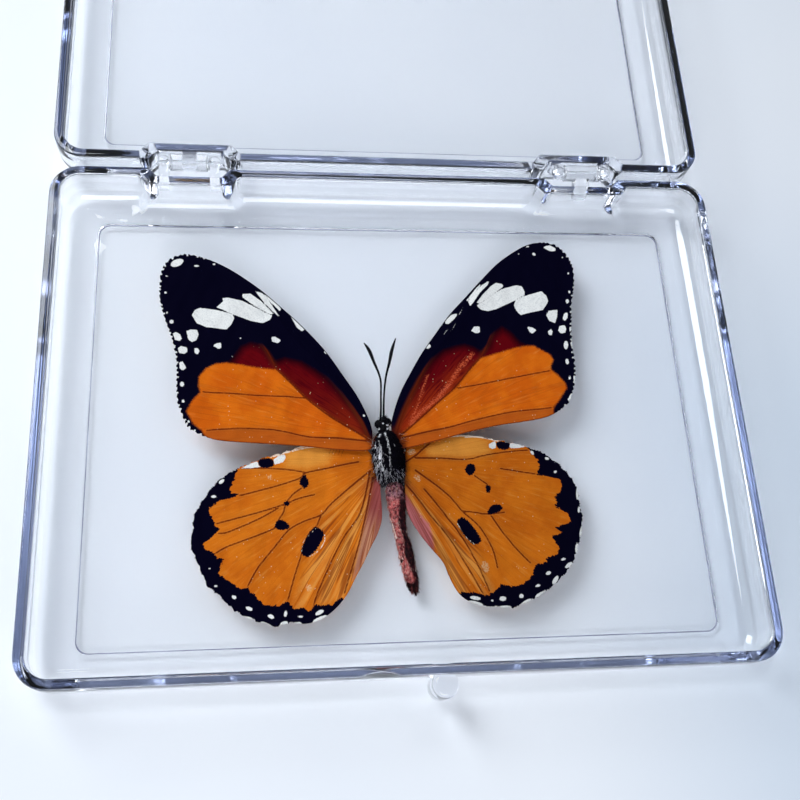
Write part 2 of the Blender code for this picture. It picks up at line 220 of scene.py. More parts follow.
HAIR_FLOOR = 1.7
PIXELS_PER_MM = 6.3
NO_MARK = -9.0

# Hairs over the wing roots: height of the wing, range along the body, backward slant and number on each side
ROOT_HAIRS = ((FOREWING_HEIGHT, -7.6, -4.6, 0.05, 46), (HINDWING_HEIGHT, -12.4, -7.4, -0.5, 70))

# Numbers of hairs on the head, in each clasper and at the abdomen's tip
HEAD_HAIRS = 620
CLASPER_HAIRS = 70
TAIL_HAIRS = 120

# Marks on the body, as pixels of the photograph: lines with a half width in millimetres, and ovals
THORAX_LINES = (
    (((385, 433), (386.7, 438.1), (388.4, 442.1)), 0.15),
    (((388.1, 443.9), (389.3, 449), (390.1, 453.6)), 0.16),
    (((390.1, 456.5), (390.1, 461.7), (390.1, 466.3)), 0.13),
    (((378.6, 440.4), (379.8, 444.4), (380.4, 448)), 0.12),
    (((380.2, 448), (380.4, 453), (379.8, 458)), 0.26),
    (((370.6, 453.1), (375.8, 457.6)), 0.12),
    (((374.5, 463), (378, 466.5)), 0.2),
    (((380, 463), (383, 470)), 0.22),
)
THORAX_DOTS = ((379.5, 435.8, 2.4, 1.2, -45), (374.3, 446.7, 2.3, 1.9, 50), (376, 469, 1.4, 2.2, -20))
HEAD_DOTS = (
    (378.6, 429.2, 1.7, 0.9, -50), (387.5, 425.2, 1.5, 0.9, 0), (387.5, 428.7, 1.2, 1.0, 0),
    (375.2, 428.4, 0.9, 0.9, 0), (383.2, 423.5, 0.9, 0.7, 0),
)
LEFT_EDGE_HAIRS = ((330.5, 449.5), (333.5, 449.5), (336.5, 449.8), (340, 450), (343.5, 450.3))
ABDOMEN_BLOTS = ((400.6, 560.5, 3.0, 2.0, 20), (399.5, 545, 1.4, 1.0, 0), (396, 512, 1.2, 0.8, 0))
ABDOMEN_DOTS = ((402.6, 559, 0.9, 0.7, 0),)
CLASPERS = (((408.4, 583.5), (409.8, 590.8)), ((413.2, 584), (416.2, 595.8)))
CLASPER_HEIGHTS = (3.9, 3.5)
# The abdomen's red and lit side, as pixels: outside it the abdomen is dark, partly its own colour and partly
# painted shade
ABDOMEN_RED_AND_LIT = (
    (378, 480), (399, 480), (399.5, 500.5), (397.9, 522.8), (403.5, 538.8), (404.3, 554.7), (411.5, 570.7),
    (414.6, 578.7), (412, 592), (400, 592), (380, 540),
)
ABDOMEN_PALE = (
    (((383.2, 487), (384.6, 499.7), (387.2, 513), (392.6, 526.4), (395.9, 538)), 0.15),
    (((396.2, 549), (399.9, 559), (402.3, 573.6), (405, 585)), 0.1),
    (((406.7, 531), (412.3, 544.4), (415.3, 558.7), (416.3, 570.7)), 0.13),
)
ANTENNA_LEFT_PX = (
    (380.3, 421.4), (380.9, 408.7), (380.9, 395), (380.8, 381.9), (378.4, 372.5), (373.8, 361.8),
    (369.1, 350.4), (364, 343),
)
ANTENNA_RIGHT_PX = (
    (383.8, 419.5), (383.6, 407), (384, 396), (384.8, 385.2), (386.5, 373.8), (389.2, 363.1),
    (391.8, 350.4), (395.6, 338.4),
)
ANTENNA_HEIGHTS = (6.15, 6.35, 6.5, 6.68, 6.78, 6.92, 7.06, 7.2)
ANTENNA_RADII = (0.2, 0.175, 0.165, 0.17, 0.19, 0.25, 0.31, 0.1)

# Wing outlines, markings and veins, as pixels of the photograph
FORE_LEFT_OUTLINE = (
    (372, 441), (371, 425), (359, 399), (343.5, 376), (325, 350.5), (302, 326), (281.5, 307.5), (259, 288.5),
    (233, 271), (213, 261), (195, 255), (182, 254), (170.5, 258), (163, 266), (160, 275), (159, 295),
    (162, 311), (167, 326), (173, 344), (176, 364), (176, 385), (177, 402), (182, 416), (188.5, 428),
    (206, 437), (226, 441), (264, 443.5), (302, 446), (337, 449.5), (368, 450),
)
FORE_RIGHT_OUTLINE = (
    (397, 440), (391, 426), (399, 396), (411, 372), (422.5, 352), (436, 333), (450, 314), (466.5, 296),
    (483, 278), (497, 264), (512, 253), (527, 245), (544, 242), (556, 245), (566, 253.5), (572, 264),
    (574, 272.5), (574, 289), (572, 303), (572, 318), (572, 333), (574, 352), (576, 368), (575.5, 381),
    (573, 393), (567, 405), (549, 416), (527, 421), (497, 425.5), (468, 432), (439, 440), (404, 448),
)
HIND_LEFT_OUTLINE = (
    (374.5, 470), (372, 456), (362, 446.5), (343, 443), (322, 443), (301, 446), (280, 453), (261, 458),
    (243, 466), (233, 470), (218, 480), (208, 492), (199, 505), (193, 516.5), (192, 533), (190, 546),
    (195, 559), (201.5, 575), (208, 587), (220, 597), (232, 609), (246, 618), (264, 624), (277, 627),
    (292, 623), (305, 624), (317, 621), (328, 615), (339, 605), (348, 593), (356, 577), (364, 562),
    (371, 547), (378, 533), (382, 518), (381, 496), (379, 478),
)
HIND_RIGHT_OUTLINE = (
    (405, 460), (408, 446), (424, 439), (446, 436), (468, 435), (490, 438), (505, 441), (527, 446),
    (541, 451.5), (556, 461), (568, 473), (577, 486), (580, 502), (583, 520), (582, 534), (577, 552),
    (571, 567), (559, 581), (544, 593), (527, 603), (512, 608), (494, 607), (480, 605), (467, 600),
    (458, 592), (450, 578), (443, 562), (431, 548), (420, 534), (411, 520), (406.5, 508), (405, 490),
    (405, 473),
)
FORE_LEFT_WARM = (
    (373, 441), (373, 455.5), (250.5, 455.5), (206, 436), (202.5, 430.5), (193.5, 423), (187, 411),
    (193, 400.5), (201, 392.5), (199, 385), (199.5, 376.5), (206, 368.5), (216, 364),
    (226.5, 362.5), (233, 354), (240, 344.5), (250.5, 340.5), (261.5, 343.5), (270, 350.5),
    (275.5, 359), (285, 355.5), (302, 360), (316, 368), (328, 376.5), (342, 392), (354, 406.5),
    (364, 421), (370, 434),
)
FORE_LEFT_BRIGHT = (
    *FORE_LEFT_WARM[:13], (226.5, 363), (242, 365), (261, 368.5), (276.5, 370.5), (290, 383.5), (305.5, 398),
    (328, 416), (350.5, 430),
)
FORE_LEFT_WHITE = (
    ((191.5, 314.5), (194.5, 309.5), (199.5, 307), (216, 309.5), (233, 314.5), (234.5, 318.5),
    (231.5, 324.5), (226.5, 329.5), (206, 327), (196.5, 323)),
    ((216, 307), (223, 301), (222, 297.5), (229, 297.5), (243, 301), (254, 306.5), (264.5, 312),
    (272.5, 315.5), (270, 320), (262.5, 323), (249, 320), (231.5, 314)),
    ((242, 297.5), (242.5, 294), (250.5, 293.5), (261, 301), (274, 314), (271, 314.5),
    (262.5, 310.5), (250.5, 303.5)),
    ((254.5, 290.5), (262.5, 293), (268, 299), (279.5, 316), (278, 316.5), (264.5, 303.5)),
    ((263.5, 292.5), (269.5, 296.5), (276.5, 302.5), (281.5, 309.5), (279.5, 311), (268, 299.5)),
    ((290.5, 316), (293.5, 315.5), (300.5, 323), (305.5, 329), (302, 331.5), (296.5, 327.5)),
    ((271, 337), (275, 336), (281.5, 340), (278, 343), (272, 341.5)),
    ((186, 330.5), (190.5, 329), (197, 329.5), (199, 334), (196.5, 340), (192, 342), (188, 339.5)),
    ((172.5, 333.5), (175.5, 331.5), (180, 333.5), (182, 338.5), (180, 341), (175, 340)),
    ((177.5, 348), (181, 345.5), (187, 347), (187.5, 351.5), (184, 354), (179, 353)),
    ((194, 348), (197.5, 347.5), (200, 351), (198, 354.5), (194.5, 353)),
    ((212.5, 345.5), (216.5, 343), (221.5, 342.5), (221.5, 347.5), (219, 349.5)),
    ((179, 362.5), (182.5, 361), (186.5, 367.5), (182.5, 371), (179.5, 368.5)),
)
FORE_LEFT_VEINS = (
    ((371, 441.5), (354, 430.5), (328, 415.5), (305.5, 397.5), (290, 382.5), (276.5, 370)),
    ((305.5, 398), (278, 396.5), (250.5, 395), (226.5, 393.5), (202.5, 392)),
    ((371, 441.5), (342, 438.5), (312.5, 437.5), (285, 432), (264.5, 429), (233.5, 429),
    (206.5, 430.5)),
    ((276.5, 370), (269.5, 355.5), (262.5, 343.5)),
    ((371, 440), (361, 419.5), (343.5, 393.5), (323, 368), (292, 337), (274.5, 314.5), (250.5, 299),
    (242, 296.5)),
)
FORE_LEFT_DOTS = (
    (182, 384, 2.4, 2.9, 0), (183, 401, 1.7, 1.9, 0), (188.5, 421.5, 1.5, 1.5, 0),
    (171.5, 321.5, 2.4, 2.2, 0), (167, 312.5, 1.4, 1.4, 0), (165.5, 292.5, 1.5, 1.5, 0),
    (166.5, 275.5, 1.7, 0.9, 0), (177, 262.5, 7.1, 3.6, -20), (200.5, 257, 2.4, 0.9, 10),
    (196.5, 266, 2.9, 1.2, 0), (214, 264, 1.7, 1, 0), (326.5, 351.5, 2.6, 2.6, 45),
    (364, 415.5, 1.4, 1.5, 0), (240.5, 338, 1, 1, 0), (232.5, 356, 1, 1, 0),
)
FORE_RIGHT_WARM = (
    (390.5, 445.5), (391, 431), (396, 419), (401.5, 406), (408.5, 391.5), (416, 378), (424, 366.5),
    (431.5, 357.5), (442.5, 348.5), (454, 344.5), (464.5, 342.5), (474.5, 345.5), (481, 349.5),
    (486, 344.5), (489.5, 335.5), (494.5, 330), (502, 324.5), (512, 331), (521.5, 341),
    (533.5, 345), (540.5, 349), (549.5, 354.5), (553, 359.5), (550.5, 365.5), (550.5, 370),
    (557.5, 375), (565, 382.5), (566.5, 387.5), (562, 394.5), (558, 401), (553, 407), (553, 412.5),
    (560.5, 425), (468, 447), (397.5, 454.5),
)
FORE_RIGHT_BRIGHT = (
    (394, 442.5), (402, 434), (424, 416.5), (438.5, 403.5), (456.5, 388.5), (468, 373), (480, 359),
    (491.5, 355.5), (504.5, 351.5), (515, 348), (526.5, 346), (533.5, 346), (540.5, 349.5),
    *FORE_RIGHT_WARM[-14:],
)
FORE_RIGHT_WHITE = (
    ((514, 305), (515.5, 300), (521, 296.5), (535.5, 292.5), (541.5, 291), (546.5, 295.5),
    (548.5, 301), (546.5, 305), (543, 310), (526.5, 313.5), (521, 315), (517, 311)),
    ((476, 305.5), (483.5, 301.5), (492, 295), (502.5, 288.5), (516.5, 284.5), (522, 285.5),
    (525, 291), (525, 294.5), (510.5, 302.5), (496.5, 309), (488, 311), (481, 309.5)),
    ((475.5, 304), (482.5, 294.5), (491.5, 285.5), (496, 282.5), (502, 283.5), (504, 286),
    (496.5, 292), (481, 303)),
    ((470, 307), (474, 302), (480, 293), (487.5, 285.5), (489.5, 281), (487, 281.5), (481, 285.5),
    (474.5, 293), (468, 302)),
    ((466, 300.5), (475.5, 288.5), (480, 283.5), (481, 284.5), (474, 294.5), (467.5, 301.5)),
    ((445.5, 324), (444.5, 321), (451.5, 314.5), (457, 313), (457, 315.5), (454.5, 319),
    (449, 324)),
    ((471, 330.5), (474, 326), (480, 325.5), (480.5, 332), (476.5, 333)),
    ((425, 347.5), (428.5, 343), (431, 345), (430.5, 348), (427, 349)),
    ((526.5, 326), (532.5, 327), (537, 330), (532.5, 333.5), (529.5, 331.5)),
    ((548, 331), (551, 328.5), (553, 331), (552, 335.5), (548.5, 334.5)),
    ((546, 315), (548.5, 310.5), (558, 309), (557.5, 316.5), (555.5, 323), (549.5, 321)),
    ((562.5, 318.5), (564, 313.5), (568, 311), (568, 317.5), (565, 321)),
    ((558, 330), (559.5, 325.5), (565, 325), (566.5, 328.5), (565.5, 333), (560.5, 333.5)),
    ((543, 247.5), (545.5, 245.5), (550.5, 245), (556, 248.5), (555.5, 251), (550.5, 251)),
)
FORE_RIGHT_VEINS = (
    ((396, 439), (409.5, 428), (424, 415), (438.5, 402), (453.5, 389), (468, 371.5), (480, 358)),
    ((457.5, 388.5), (481, 384), (504.5, 379.5), (528, 375), (551.5, 370.5)),
    ((397.5, 439), (424, 432.5), (453.5, 426), (482.5, 418.5), (512, 412), (551.5, 408)),
    ((480, 358), (485.5, 347.5), (491.5, 332.5)),
    ((395.5, 437), (402, 416.5), (413.5, 390), (430, 359), (450.5, 331), (469.5, 307.5),
    (488.5, 287)),
)
FORE_RIGHT_DOTS = (
    (566, 345, 2.5, 4.4, 0), (567.5, 361, 1.9, 3.2, -15), (570, 377.5, 1.2, 2.5, 0),
    (567.5, 301, 1.8, 2.5, 0), (569.5, 291.5, 1.2, 1.9, 0), (568.5, 273, 1.2, 1.2, 0),
    (562.5, 257, 1, 1, 0), (534, 254, 2.2, 1.5, 35), (518.5, 254, 1.2, 0.9, 0),
    (527.5, 246.5, 2.2, 0.9, -15), (446.5, 331, 0.7, 4.7, 35), (452.5, 328.5, 0.6, 6.6, 32),
    (460.5, 311.5, 0.6, 5.9, 28),
)
FORE_RIGHT_FRINGE = (
    (570.5, 329, 1, 3.2, 0), (572, 344.5, 0.9, 4.4, 0), (574.5, 378, 0.9, 3.2, 0),
    (570.5, 397, 1.3, 5, 25),
)
FORE_LEFT_LOW = (*FORE_LEFT_VEINS[2], (200, 442), (372, 456))
FORE_RIGHT_LOW = (*FORE_RIGHT_VEINS[2], (562, 426), (400, 456))
# Painted highlight lines on the right forewing, where its scales glitter
FORE_RIGHT_GLOW = (
    (((472, 354), (460.3, 367), (451.7, 380), (441.7, 394.3), (433, 403), (421.6, 411.5), (411, 424)), 0.3),
    (((427.3, 375.6), (417.3, 405.7), (409, 424)), 0.08),
)
HIND_LEFT_WARM = (
    (239, 468.5), (235.5, 473), (235, 478.5), (229.5, 489), (231.5, 493), (238.5, 495.5),
    (220.5, 501), (209, 507.5), (208.5, 512), (212.5, 518), (214.5, 524), (219.5, 530),
    (203.5, 542.5), (204.5, 548), (214, 554), (217, 557.5), (225.5, 559), (220, 566.5),
    (218.5, 575), (228.5, 581), (240, 588.5), (249, 588), (252, 593.5), (264, 604.5), (272.5, 605),
    (281.5, 607), (287.5, 601), (292, 606.5), (297.5, 609.5), (305, 608), (311, 612),
    (315.5, 604.5), (325.5, 605.5), (334.5, 604), (341.5, 598.5), (355, 594.5), (390, 562),
    (399, 474), (375.5, 439), (287.5, 439), (252, 458),
)
HIND_LEFT_PINK = (
    (371.5, 477), (390, 478.5), (390, 524), (375.5, 541.5), (359, 571), (352, 581), (357, 556),
    (365, 518),
)
HIND_LEFT_FOLD = (
    (371, 472), (321, 515), (308, 556), (290, 612), (352, 600), (380, 540), (384, 490),
)
HIND_LEFT_GLOW = (
    (((324.5, 534), (324.3, 542), (317.6, 551.5), (309.5, 556.2)), 0.07),
    (((315.6, 528.7), (304.2, 540.8), (301.5, 553)), 0.05),
    (((270.7, 457.1), (286.8, 452.4), (305.5, 447.7), (319, 446.5)), 0.13),
)
HIND_LEFT_WORN_AND_SHEEN = ((308.9, 587.7, 2.6, 3.2, -20), (270, 477.5, 2.4, 1.4, 30))
HIND_LEFT_DULL = (
    (283.5, 452), (316.5, 439), (333, 452), (328.5, 464.5), (306.5, 469.5), (286, 467.5),
)
HIND_LEFT_WHITE = (
    ((240.5, 468.5), (249, 463.5), (258, 461), (258.5, 465), (261.5, 467.5), (251.5, 468.5)),
    ((273, 459.5), (278.5, 455.5), (285, 454), (286, 458), (283, 462.5), (274.5, 465)),
)
HIND_LEFT_BLACK = (
    ((258, 461.5), (261, 458.5), (268.5, 458), (273.5, 460), (274, 465), (270, 467.5), (262.5, 468),
    (258.5, 465)),
    ((300.5, 479), (305, 475), (307.5, 478.5), (309, 484), (305.5, 488.5), (302, 487),
    (299.5, 483)),
    ((283.5, 503), (286.5, 500.5), (289.5, 503.5), (287, 506.5)),
    ((274.5, 528), (276.5, 521.5), (281.5, 520), (287.5, 523), (289.5, 527.5), (282.5, 530)),
    ((315, 527), (322.5, 531), (323.5, 537), (319.5, 544.5), (314.5, 552), (308, 557), (303, 555.5),
    (301, 550.5), (303.5, 543), (308.5, 533.5)),
)
HIND_LEFT_VEINS = (
    ((358.5, 462), (331.5, 467.5), (306.5, 473), (299, 479), (275.5, 486.5), (256.5, 491.5),
    (239, 495.5)),
    ((306.5, 473), (287.5, 470), (265.5, 468.5), (240.5, 468.5)),
    ((302, 488), (293, 494.5), (286, 503.5), (283.5, 512), (279.5, 518.5), (274.5, 528.5)),
    ((314.5, 494.5), (297.5, 499), (287, 503.5), (264, 511), (240.5, 517.5), (215.5, 524)),
    ((278, 508.5), (258, 519.5), (228.5, 532), (218.5, 533.5)),
    ((274.5, 528.5), (258, 535.5), (240.5, 542), (225.5, 547.5), (214, 554.5)),
    ((370, 471), (353.5, 484.5), (331.5, 503.5), (321, 515), (305, 521), (289, 530), (275.5, 546),
    (258, 568), (247.5, 587)),
    ((321, 515), (316.5, 526), (308, 535.5), (300.5, 557.5), (294.5, 576.5), (287.5, 601.5)),
    ((370, 472), (360.5, 512), (343, 538.5), (328.5, 568), (316.5, 596), (313.5, 608)),
    ((373, 477.5), (365, 518), (358, 547.5), (351, 571.5), (344.5, 593)),
)
HIND_LEFT_DOTS = (
    (221.5, 481.5, 3.5, 2.1, -38), (213.5, 496.5, 3.1, 1.6, 0), (209.5, 568.5, 1.5, 1.2, 0),
    (216, 586, 2.5, 1.2, 0), (234, 597, 2.8, 2.2, 30), (249, 608.5, 4, 2.1, 20), (271, 616.5, 4,
    2.2, 25), (285.5, 614, 1.9, 3.8, 8), (300.5, 616.5, 3.7, 1.2, 0), (319.5, 612.5, 5, 2.3, -28),
)
HIND_LEFT_FRINGE = (
    (246.5, 618, 6.2, 1.3, 10), (266, 624.5, 5.9, 1.5, 22), (284, 623.5, 3.8, 1.8, -20),
    (297.5, 623.5, 4.1, 1.3, 0), (320, 619, 7.9, 1.8, -24),
)
HIND_RIGHT_WARM = (
    (529.5, 450), (534, 455.5), (538.5, 462.5), (539.5, 467), (536, 474.5), (546, 475.5),
    (560.5, 480), (562, 486), (559.5, 493.5), (553.5, 496), (558, 500), (556, 504), (550, 505),
    (560.5, 508), (569, 514), (570.5, 520), (565, 525), (554, 527), (561.5, 532), (559, 535),
    (551.5, 536), (556.5, 542), (559.5, 548), (556, 555), (546, 558.5), (547, 561.5), (535.5, 565),
    (533.5, 572), (531, 577.5), (524.5, 583), (518.5, 585.5), (512, 587), (506.5, 585),
    (500.5, 583.5), (497.5, 588.5), (491.5, 593.5), (486, 596), (477, 593), (468, 592),
    (453.5, 593), (424, 566.5), (389, 522.5), (389, 442), (468, 423), (512, 429),
)
HIND_RIGHT_PINK = (
    (402, 489), (411.5, 502), (420.5, 514), (429, 523.5), (433, 536), (434.5, 550.5), (424, 552),
    (397.5, 522.5),
)
HIND_RIGHT_FOLD = (
    (404, 474), (431, 500), (450, 514), (478, 545), (498, 596), (455, 600), (425, 552), (400, 500),
)
HIND_RIGHT_GLOW = (
    (((457.2, 523.2), (464.6, 535.7), (474.6, 544.4)), 0.07),
    (((464.6, 437), (482, 437), (498.2, 441.2)), 0.13),
)
# Worn patches as ovals: the far one real wear, the two by the root a painted golden sheen
HIND_RIGHT_WORN_AND_SHEEN = ((485.2, 566.8, 3.2, 5.4, -12), (411, 451.7, 4.2, 3, 0), (417.5, 478, 3, 3.5, -40))
HIND_RIGHT_DULL = (
    (424, 448), (462, 429), (488.5, 440.5), (491.5, 455), (466.5, 458.5), (428.5, 457.5),
)
HIND_RIGHT_WHITE = (
    ((489, 447.5), (488.5, 444), (495, 440.5), (496.5, 444), (496, 448), (492, 449)),
    ((509, 446.5), (510, 443), (516.5, 443), (527, 446.5), (519.5, 448), (511, 448.5)),
    ((529.5, 450), (533.5, 451), (534.5, 455), (531, 454.5)),
)
HIND_RIGHT_BLACK = (
    ((496, 444), (497.5, 441.5), (503.5, 441.5), (510, 443), (510, 447), (506, 449.5),
    (499, 448.5)),
    ((465, 469), (468.5, 464), (474, 464.5), (475.5, 469.5), (472.5, 474.5), (468.5, 475.5)),
    ((485.5, 487), (488, 485), (491, 487.5), (490, 491.5), (487.5, 493)),
    ((487, 513.5), (490.5, 506.5), (494.5, 504), (500.5, 505), (502, 509.5), (497.5, 512.5),
    (491.5, 514.5)),
    ((457, 521), (462, 517), (468.5, 521.5), (475.5, 530), (481, 539), (480, 542.5), (475.5, 544.5),
    (471, 543), (465, 536), (459.5, 528.5)),
)
HIND_RIGHT_VEINS = (
    ((403.5, 463), (415, 456), (424, 448), (430, 443.5)),
    ((415, 458), (441.5, 458.5), (466.5, 459.5), (482.5, 456), (500.5, 452.5), (528, 450)),
    ((474, 475.5), (481, 480.5), (487, 484.5)),
    ((500.5, 468.5), (518, 471.5), (536, 474.5)),
    ((415, 470.5), (433, 483), (450.5, 497.5), (462, 511), (477, 524.5), (485.5, 536), (493, 550.5),
    (497.5, 568)),
    ((462, 511), (474, 512.5), (485.5, 514), (504.5, 512.5)),
    ((491, 516), (502, 531.5), (515, 547.5), (530.5, 563)),
    ((405, 483), (418, 499), (431.5, 517), (447.5, 536), (462, 558), (474, 578.5), (483.5, 594.5)),
    ((424, 489), (444.5, 514), (462, 537.5), (475.5, 561), (489.5, 591)),
)
HIND_RIGHT_DOTS = (
    (547, 458.5, 2.6, 1.6, 15), (555.5, 471.5, 1.9, 1.6, 0), (563.5, 559, 2.9, 1.5, -10),
    (548.5, 573, 2.9, 2.1, -25), (538, 585.5, 3.2, 1.5, -15), (521.5, 596, 2.5, 2.5, 0),
    (503, 598.5, 3.7, 2.6, 0), (492.5, 600.5, 1.5, 1.3, 0), (475.5, 598, 5.9, 2.1, 12),
)
HIND_RIGHT_FRINGE = (
    (577.5, 493.5, 1, 6.2, 0), (579, 509.5, 0.9, 2.9, 0), (581.5, 531, 1.2, 6.2, 12),
    (577, 547.5, 1.2, 5, 8), (569, 565, 4.1, 1.6, -38), (555.5, 580, 1.8, 4.7, 32),
    (541, 594, 6.2, 1.5, -28), (526.5, 602, 5.9, 1.6, -28), (505.5, 607, 6.2, 1.2, 0),
    (496, 607, 1.5, 1.2, 0), (476, 603.5, 7.6, 1.8, 15),
)


def linear(red, green, blue):
    """A colour given as 0 to 255 screen values, as the renderer's linear values."""
    def one(value):
        value /= 255
        return value / 12.92 if value <= 0.04045 else ((value + 0.055) / 1.055) ** 2.4
    return (one(red), one(green), one(blue), 1.0)


# Colours read off the photograph
ORANGE = linear(213, 105, 18)
ORANGE_DEEP = linear(196, 84, 12)
ORANGE_PALE = linear(222, 134, 56)
OCHRE = linear(210, 113, 24)
OCHRE_DEEP = linear(190, 92, 16)
OCHRE_PALE = linear(226, 148, 64)
MAROON_DARK = linear(36, 0, 10)
MAROON = linear(92, 3, 12)
RUST = linear(156, 48, 14)
GLOW_HIGHLIGHT = linear(216, 98, 62)
BLACK_SCALES = linear(3, 2, 22)
WHITE_SCALES = linear(234, 234, 232)
WHITE_SHADE = linear(190, 192, 194)
VEIN_BROWN = linear(92, 26, 8)
ROOT_BROWN_SHADE = linear(74, 24, 16)
PINK_FOLD = linear(190, 108, 110)
PINK_SHADE = linear(120, 50, 52)
PINK_DUSK = linear(150, 74, 72)
PINK_BEIGE = linear(192, 136, 104)
LOW_ORANGE = linear(168, 78, 24)
DULL_FOLD = linear(224, 150, 62)
PLEAT_HIGHLIGHT = linear(226, 158, 76)
CREASE_SHADE = linear(132, 58, 18)
WORN_AND_SHEEN = linear(220, 182, 138)
CREAM = linear(240, 226, 208)
GLINT = linear(246, 214, 170)
UNDERSIDE = linear(205, 160, 105)
# Painted shade on the table's right front, for the lamp's falloff
TABLE_PAINTED_SHADE = linear(213, 223, 236)


def sight(u, v, height):
    """The point, in millimetres, where the line of sight of a photo pixel crosses a height."""
    across, down = (u - PHOTO_SIDE / 2) / FOCAL_PIXELS, (v - PHOTO_SIDE / 2) / FOCAL_PIXELS
    ray = TURN_MATRIX @ Vector((across, -down, -1.0))
    eye = Vector(CAMERA_PLACE)
    return eye + ray * ((height - eye.z) / ray.z)


def pixels_of(points):
    """The photo pixels at which points, in millimetres, are seen."""
    local = (points - np.array(CAMERA_PLACE)) @ np.array(TURN_MATRIX)
    across = PHOTO_SIDE / 2 + FOCAL_PIXELS * local[:, 0] / -local[:, 2]
    down = PHOTO_SIDE / 2 - FOCAL_PIXELS * local[:, 1] / -local[:, 2]
    return np.stack([across, down], axis=1)


def wing_height(x, base):
    """Height of a wing's middle surface, rising gently away from the body."""
    away = abs(x - BODY_X) / WING_REACH
    return base + WING_LIFT * away * away


def on_wing(u, v, base):
    """The x and y, in millimetres, of a photo pixel on a wing."""
    point = sight(u, v, base)
    point = sight(u, v, wing_height(point.x, base))
    return (point.x, point.y)


def spline(points, steps, closed=True):
    """A smooth curve through the points, as a finer list of points."""
    points = [np.array(point, float) for point in points]
    count = len(points)
    fine = []
    spans = count if closed else count - 1
    for i in range(spans):
        if closed:
            p = [points[(i + k) % count] for k in (-1, 0, 1, 2)]
        else:
            p = [points[min(max(i + k, 0), count - 1)] for k in (-1, 0, 1, 2)]
        for step in range(steps):
            t = step / steps
            fine.append(0.5 * (
                2 * p[1] + (p[2] - p[0]) * t + (2 * p[0] - 5 * p[1] + 4 * p[2] - p[3]) * t * t
                + (3 * p[1] - p[0] - 3 * p[2] + p[3]) * t ** 3
            ))
    if not closed:
        fine.append(points[-1])
    return np.array(fine)


def even(points, spacing):
    """The same closed outline with its points at an even spacing."""
    loop = np.vstack([points, points[:1]])
    steps = np.linalg.norm(np.diff(loop, axis=0), axis=1)
    along = np.concatenate([[0], np.cumsum(steps)])
    count = max(int(round(along[-1] / spacing)), 3)
    wanted = np.linspace(0, along[-1], count + 1)[:-1]
    return np.stack([np.interp(wanted, along, loop[:, k]) for k in range(loop.shape[1])], axis=1)


def to_edges(points, line, closed):
    """Distance from each point to a line or polygon."""
    best = np.full(len(points), 1e9)
    ends = np.vstack([line[1:], line[:1]]) if closed else line[1:]
    for a, b in zip(line, ends):
        ab = b - a
        length = float(ab @ ab) or 1e-12
        t = np.clip(((points - a) @ ab) / length, 0, 1)
        gap = points - (a + t[:, None] * ab)
        best = np.minimum(best, np.einsum("ij,ij->i", gap, gap))
    return np.sqrt(best)


def inside(points, polygon):
    """True where a point lies in a polygon."""
    within = np.zeros(len(points), bool)
    x, y = points[:, 0], points[:, 1]
    for a, b in zip(polygon, np.vstack([polygon[1:], polygon[:1]])):
        if a[1] == b[1]:
            continue
        crosses = (a[1] > y) != (b[1] > y)
        at = (b[0] - a[0]) * (y - a[1]) / (b[1] - a[1]) + a[0]
        within ^= crosses & (x < at)
    return within


def depth_in(points, polygon):
    """Signed distance to a polygon's edge, positive inside."""
    distance = to_edges(points, polygon, True)
    return np.where(inside(points, polygon), distance, -distance)


def oval(u, v, half_u, half_v, tilt):
    """The outline of a small tilted oval, in pixels."""
    turn = math.radians(tilt)
    cos, sin = math.cos(turn), math.sin(turn)
    points = []
    for k in range(OVAL_SIDES):
        angle = math.tau * k / OVAL_SIDES
        a, b = half_u * math.cos(angle), half_v * math.sin(angle)
        points.append((u + a * cos - b * sin, v + a * sin + b * cos))
    return points


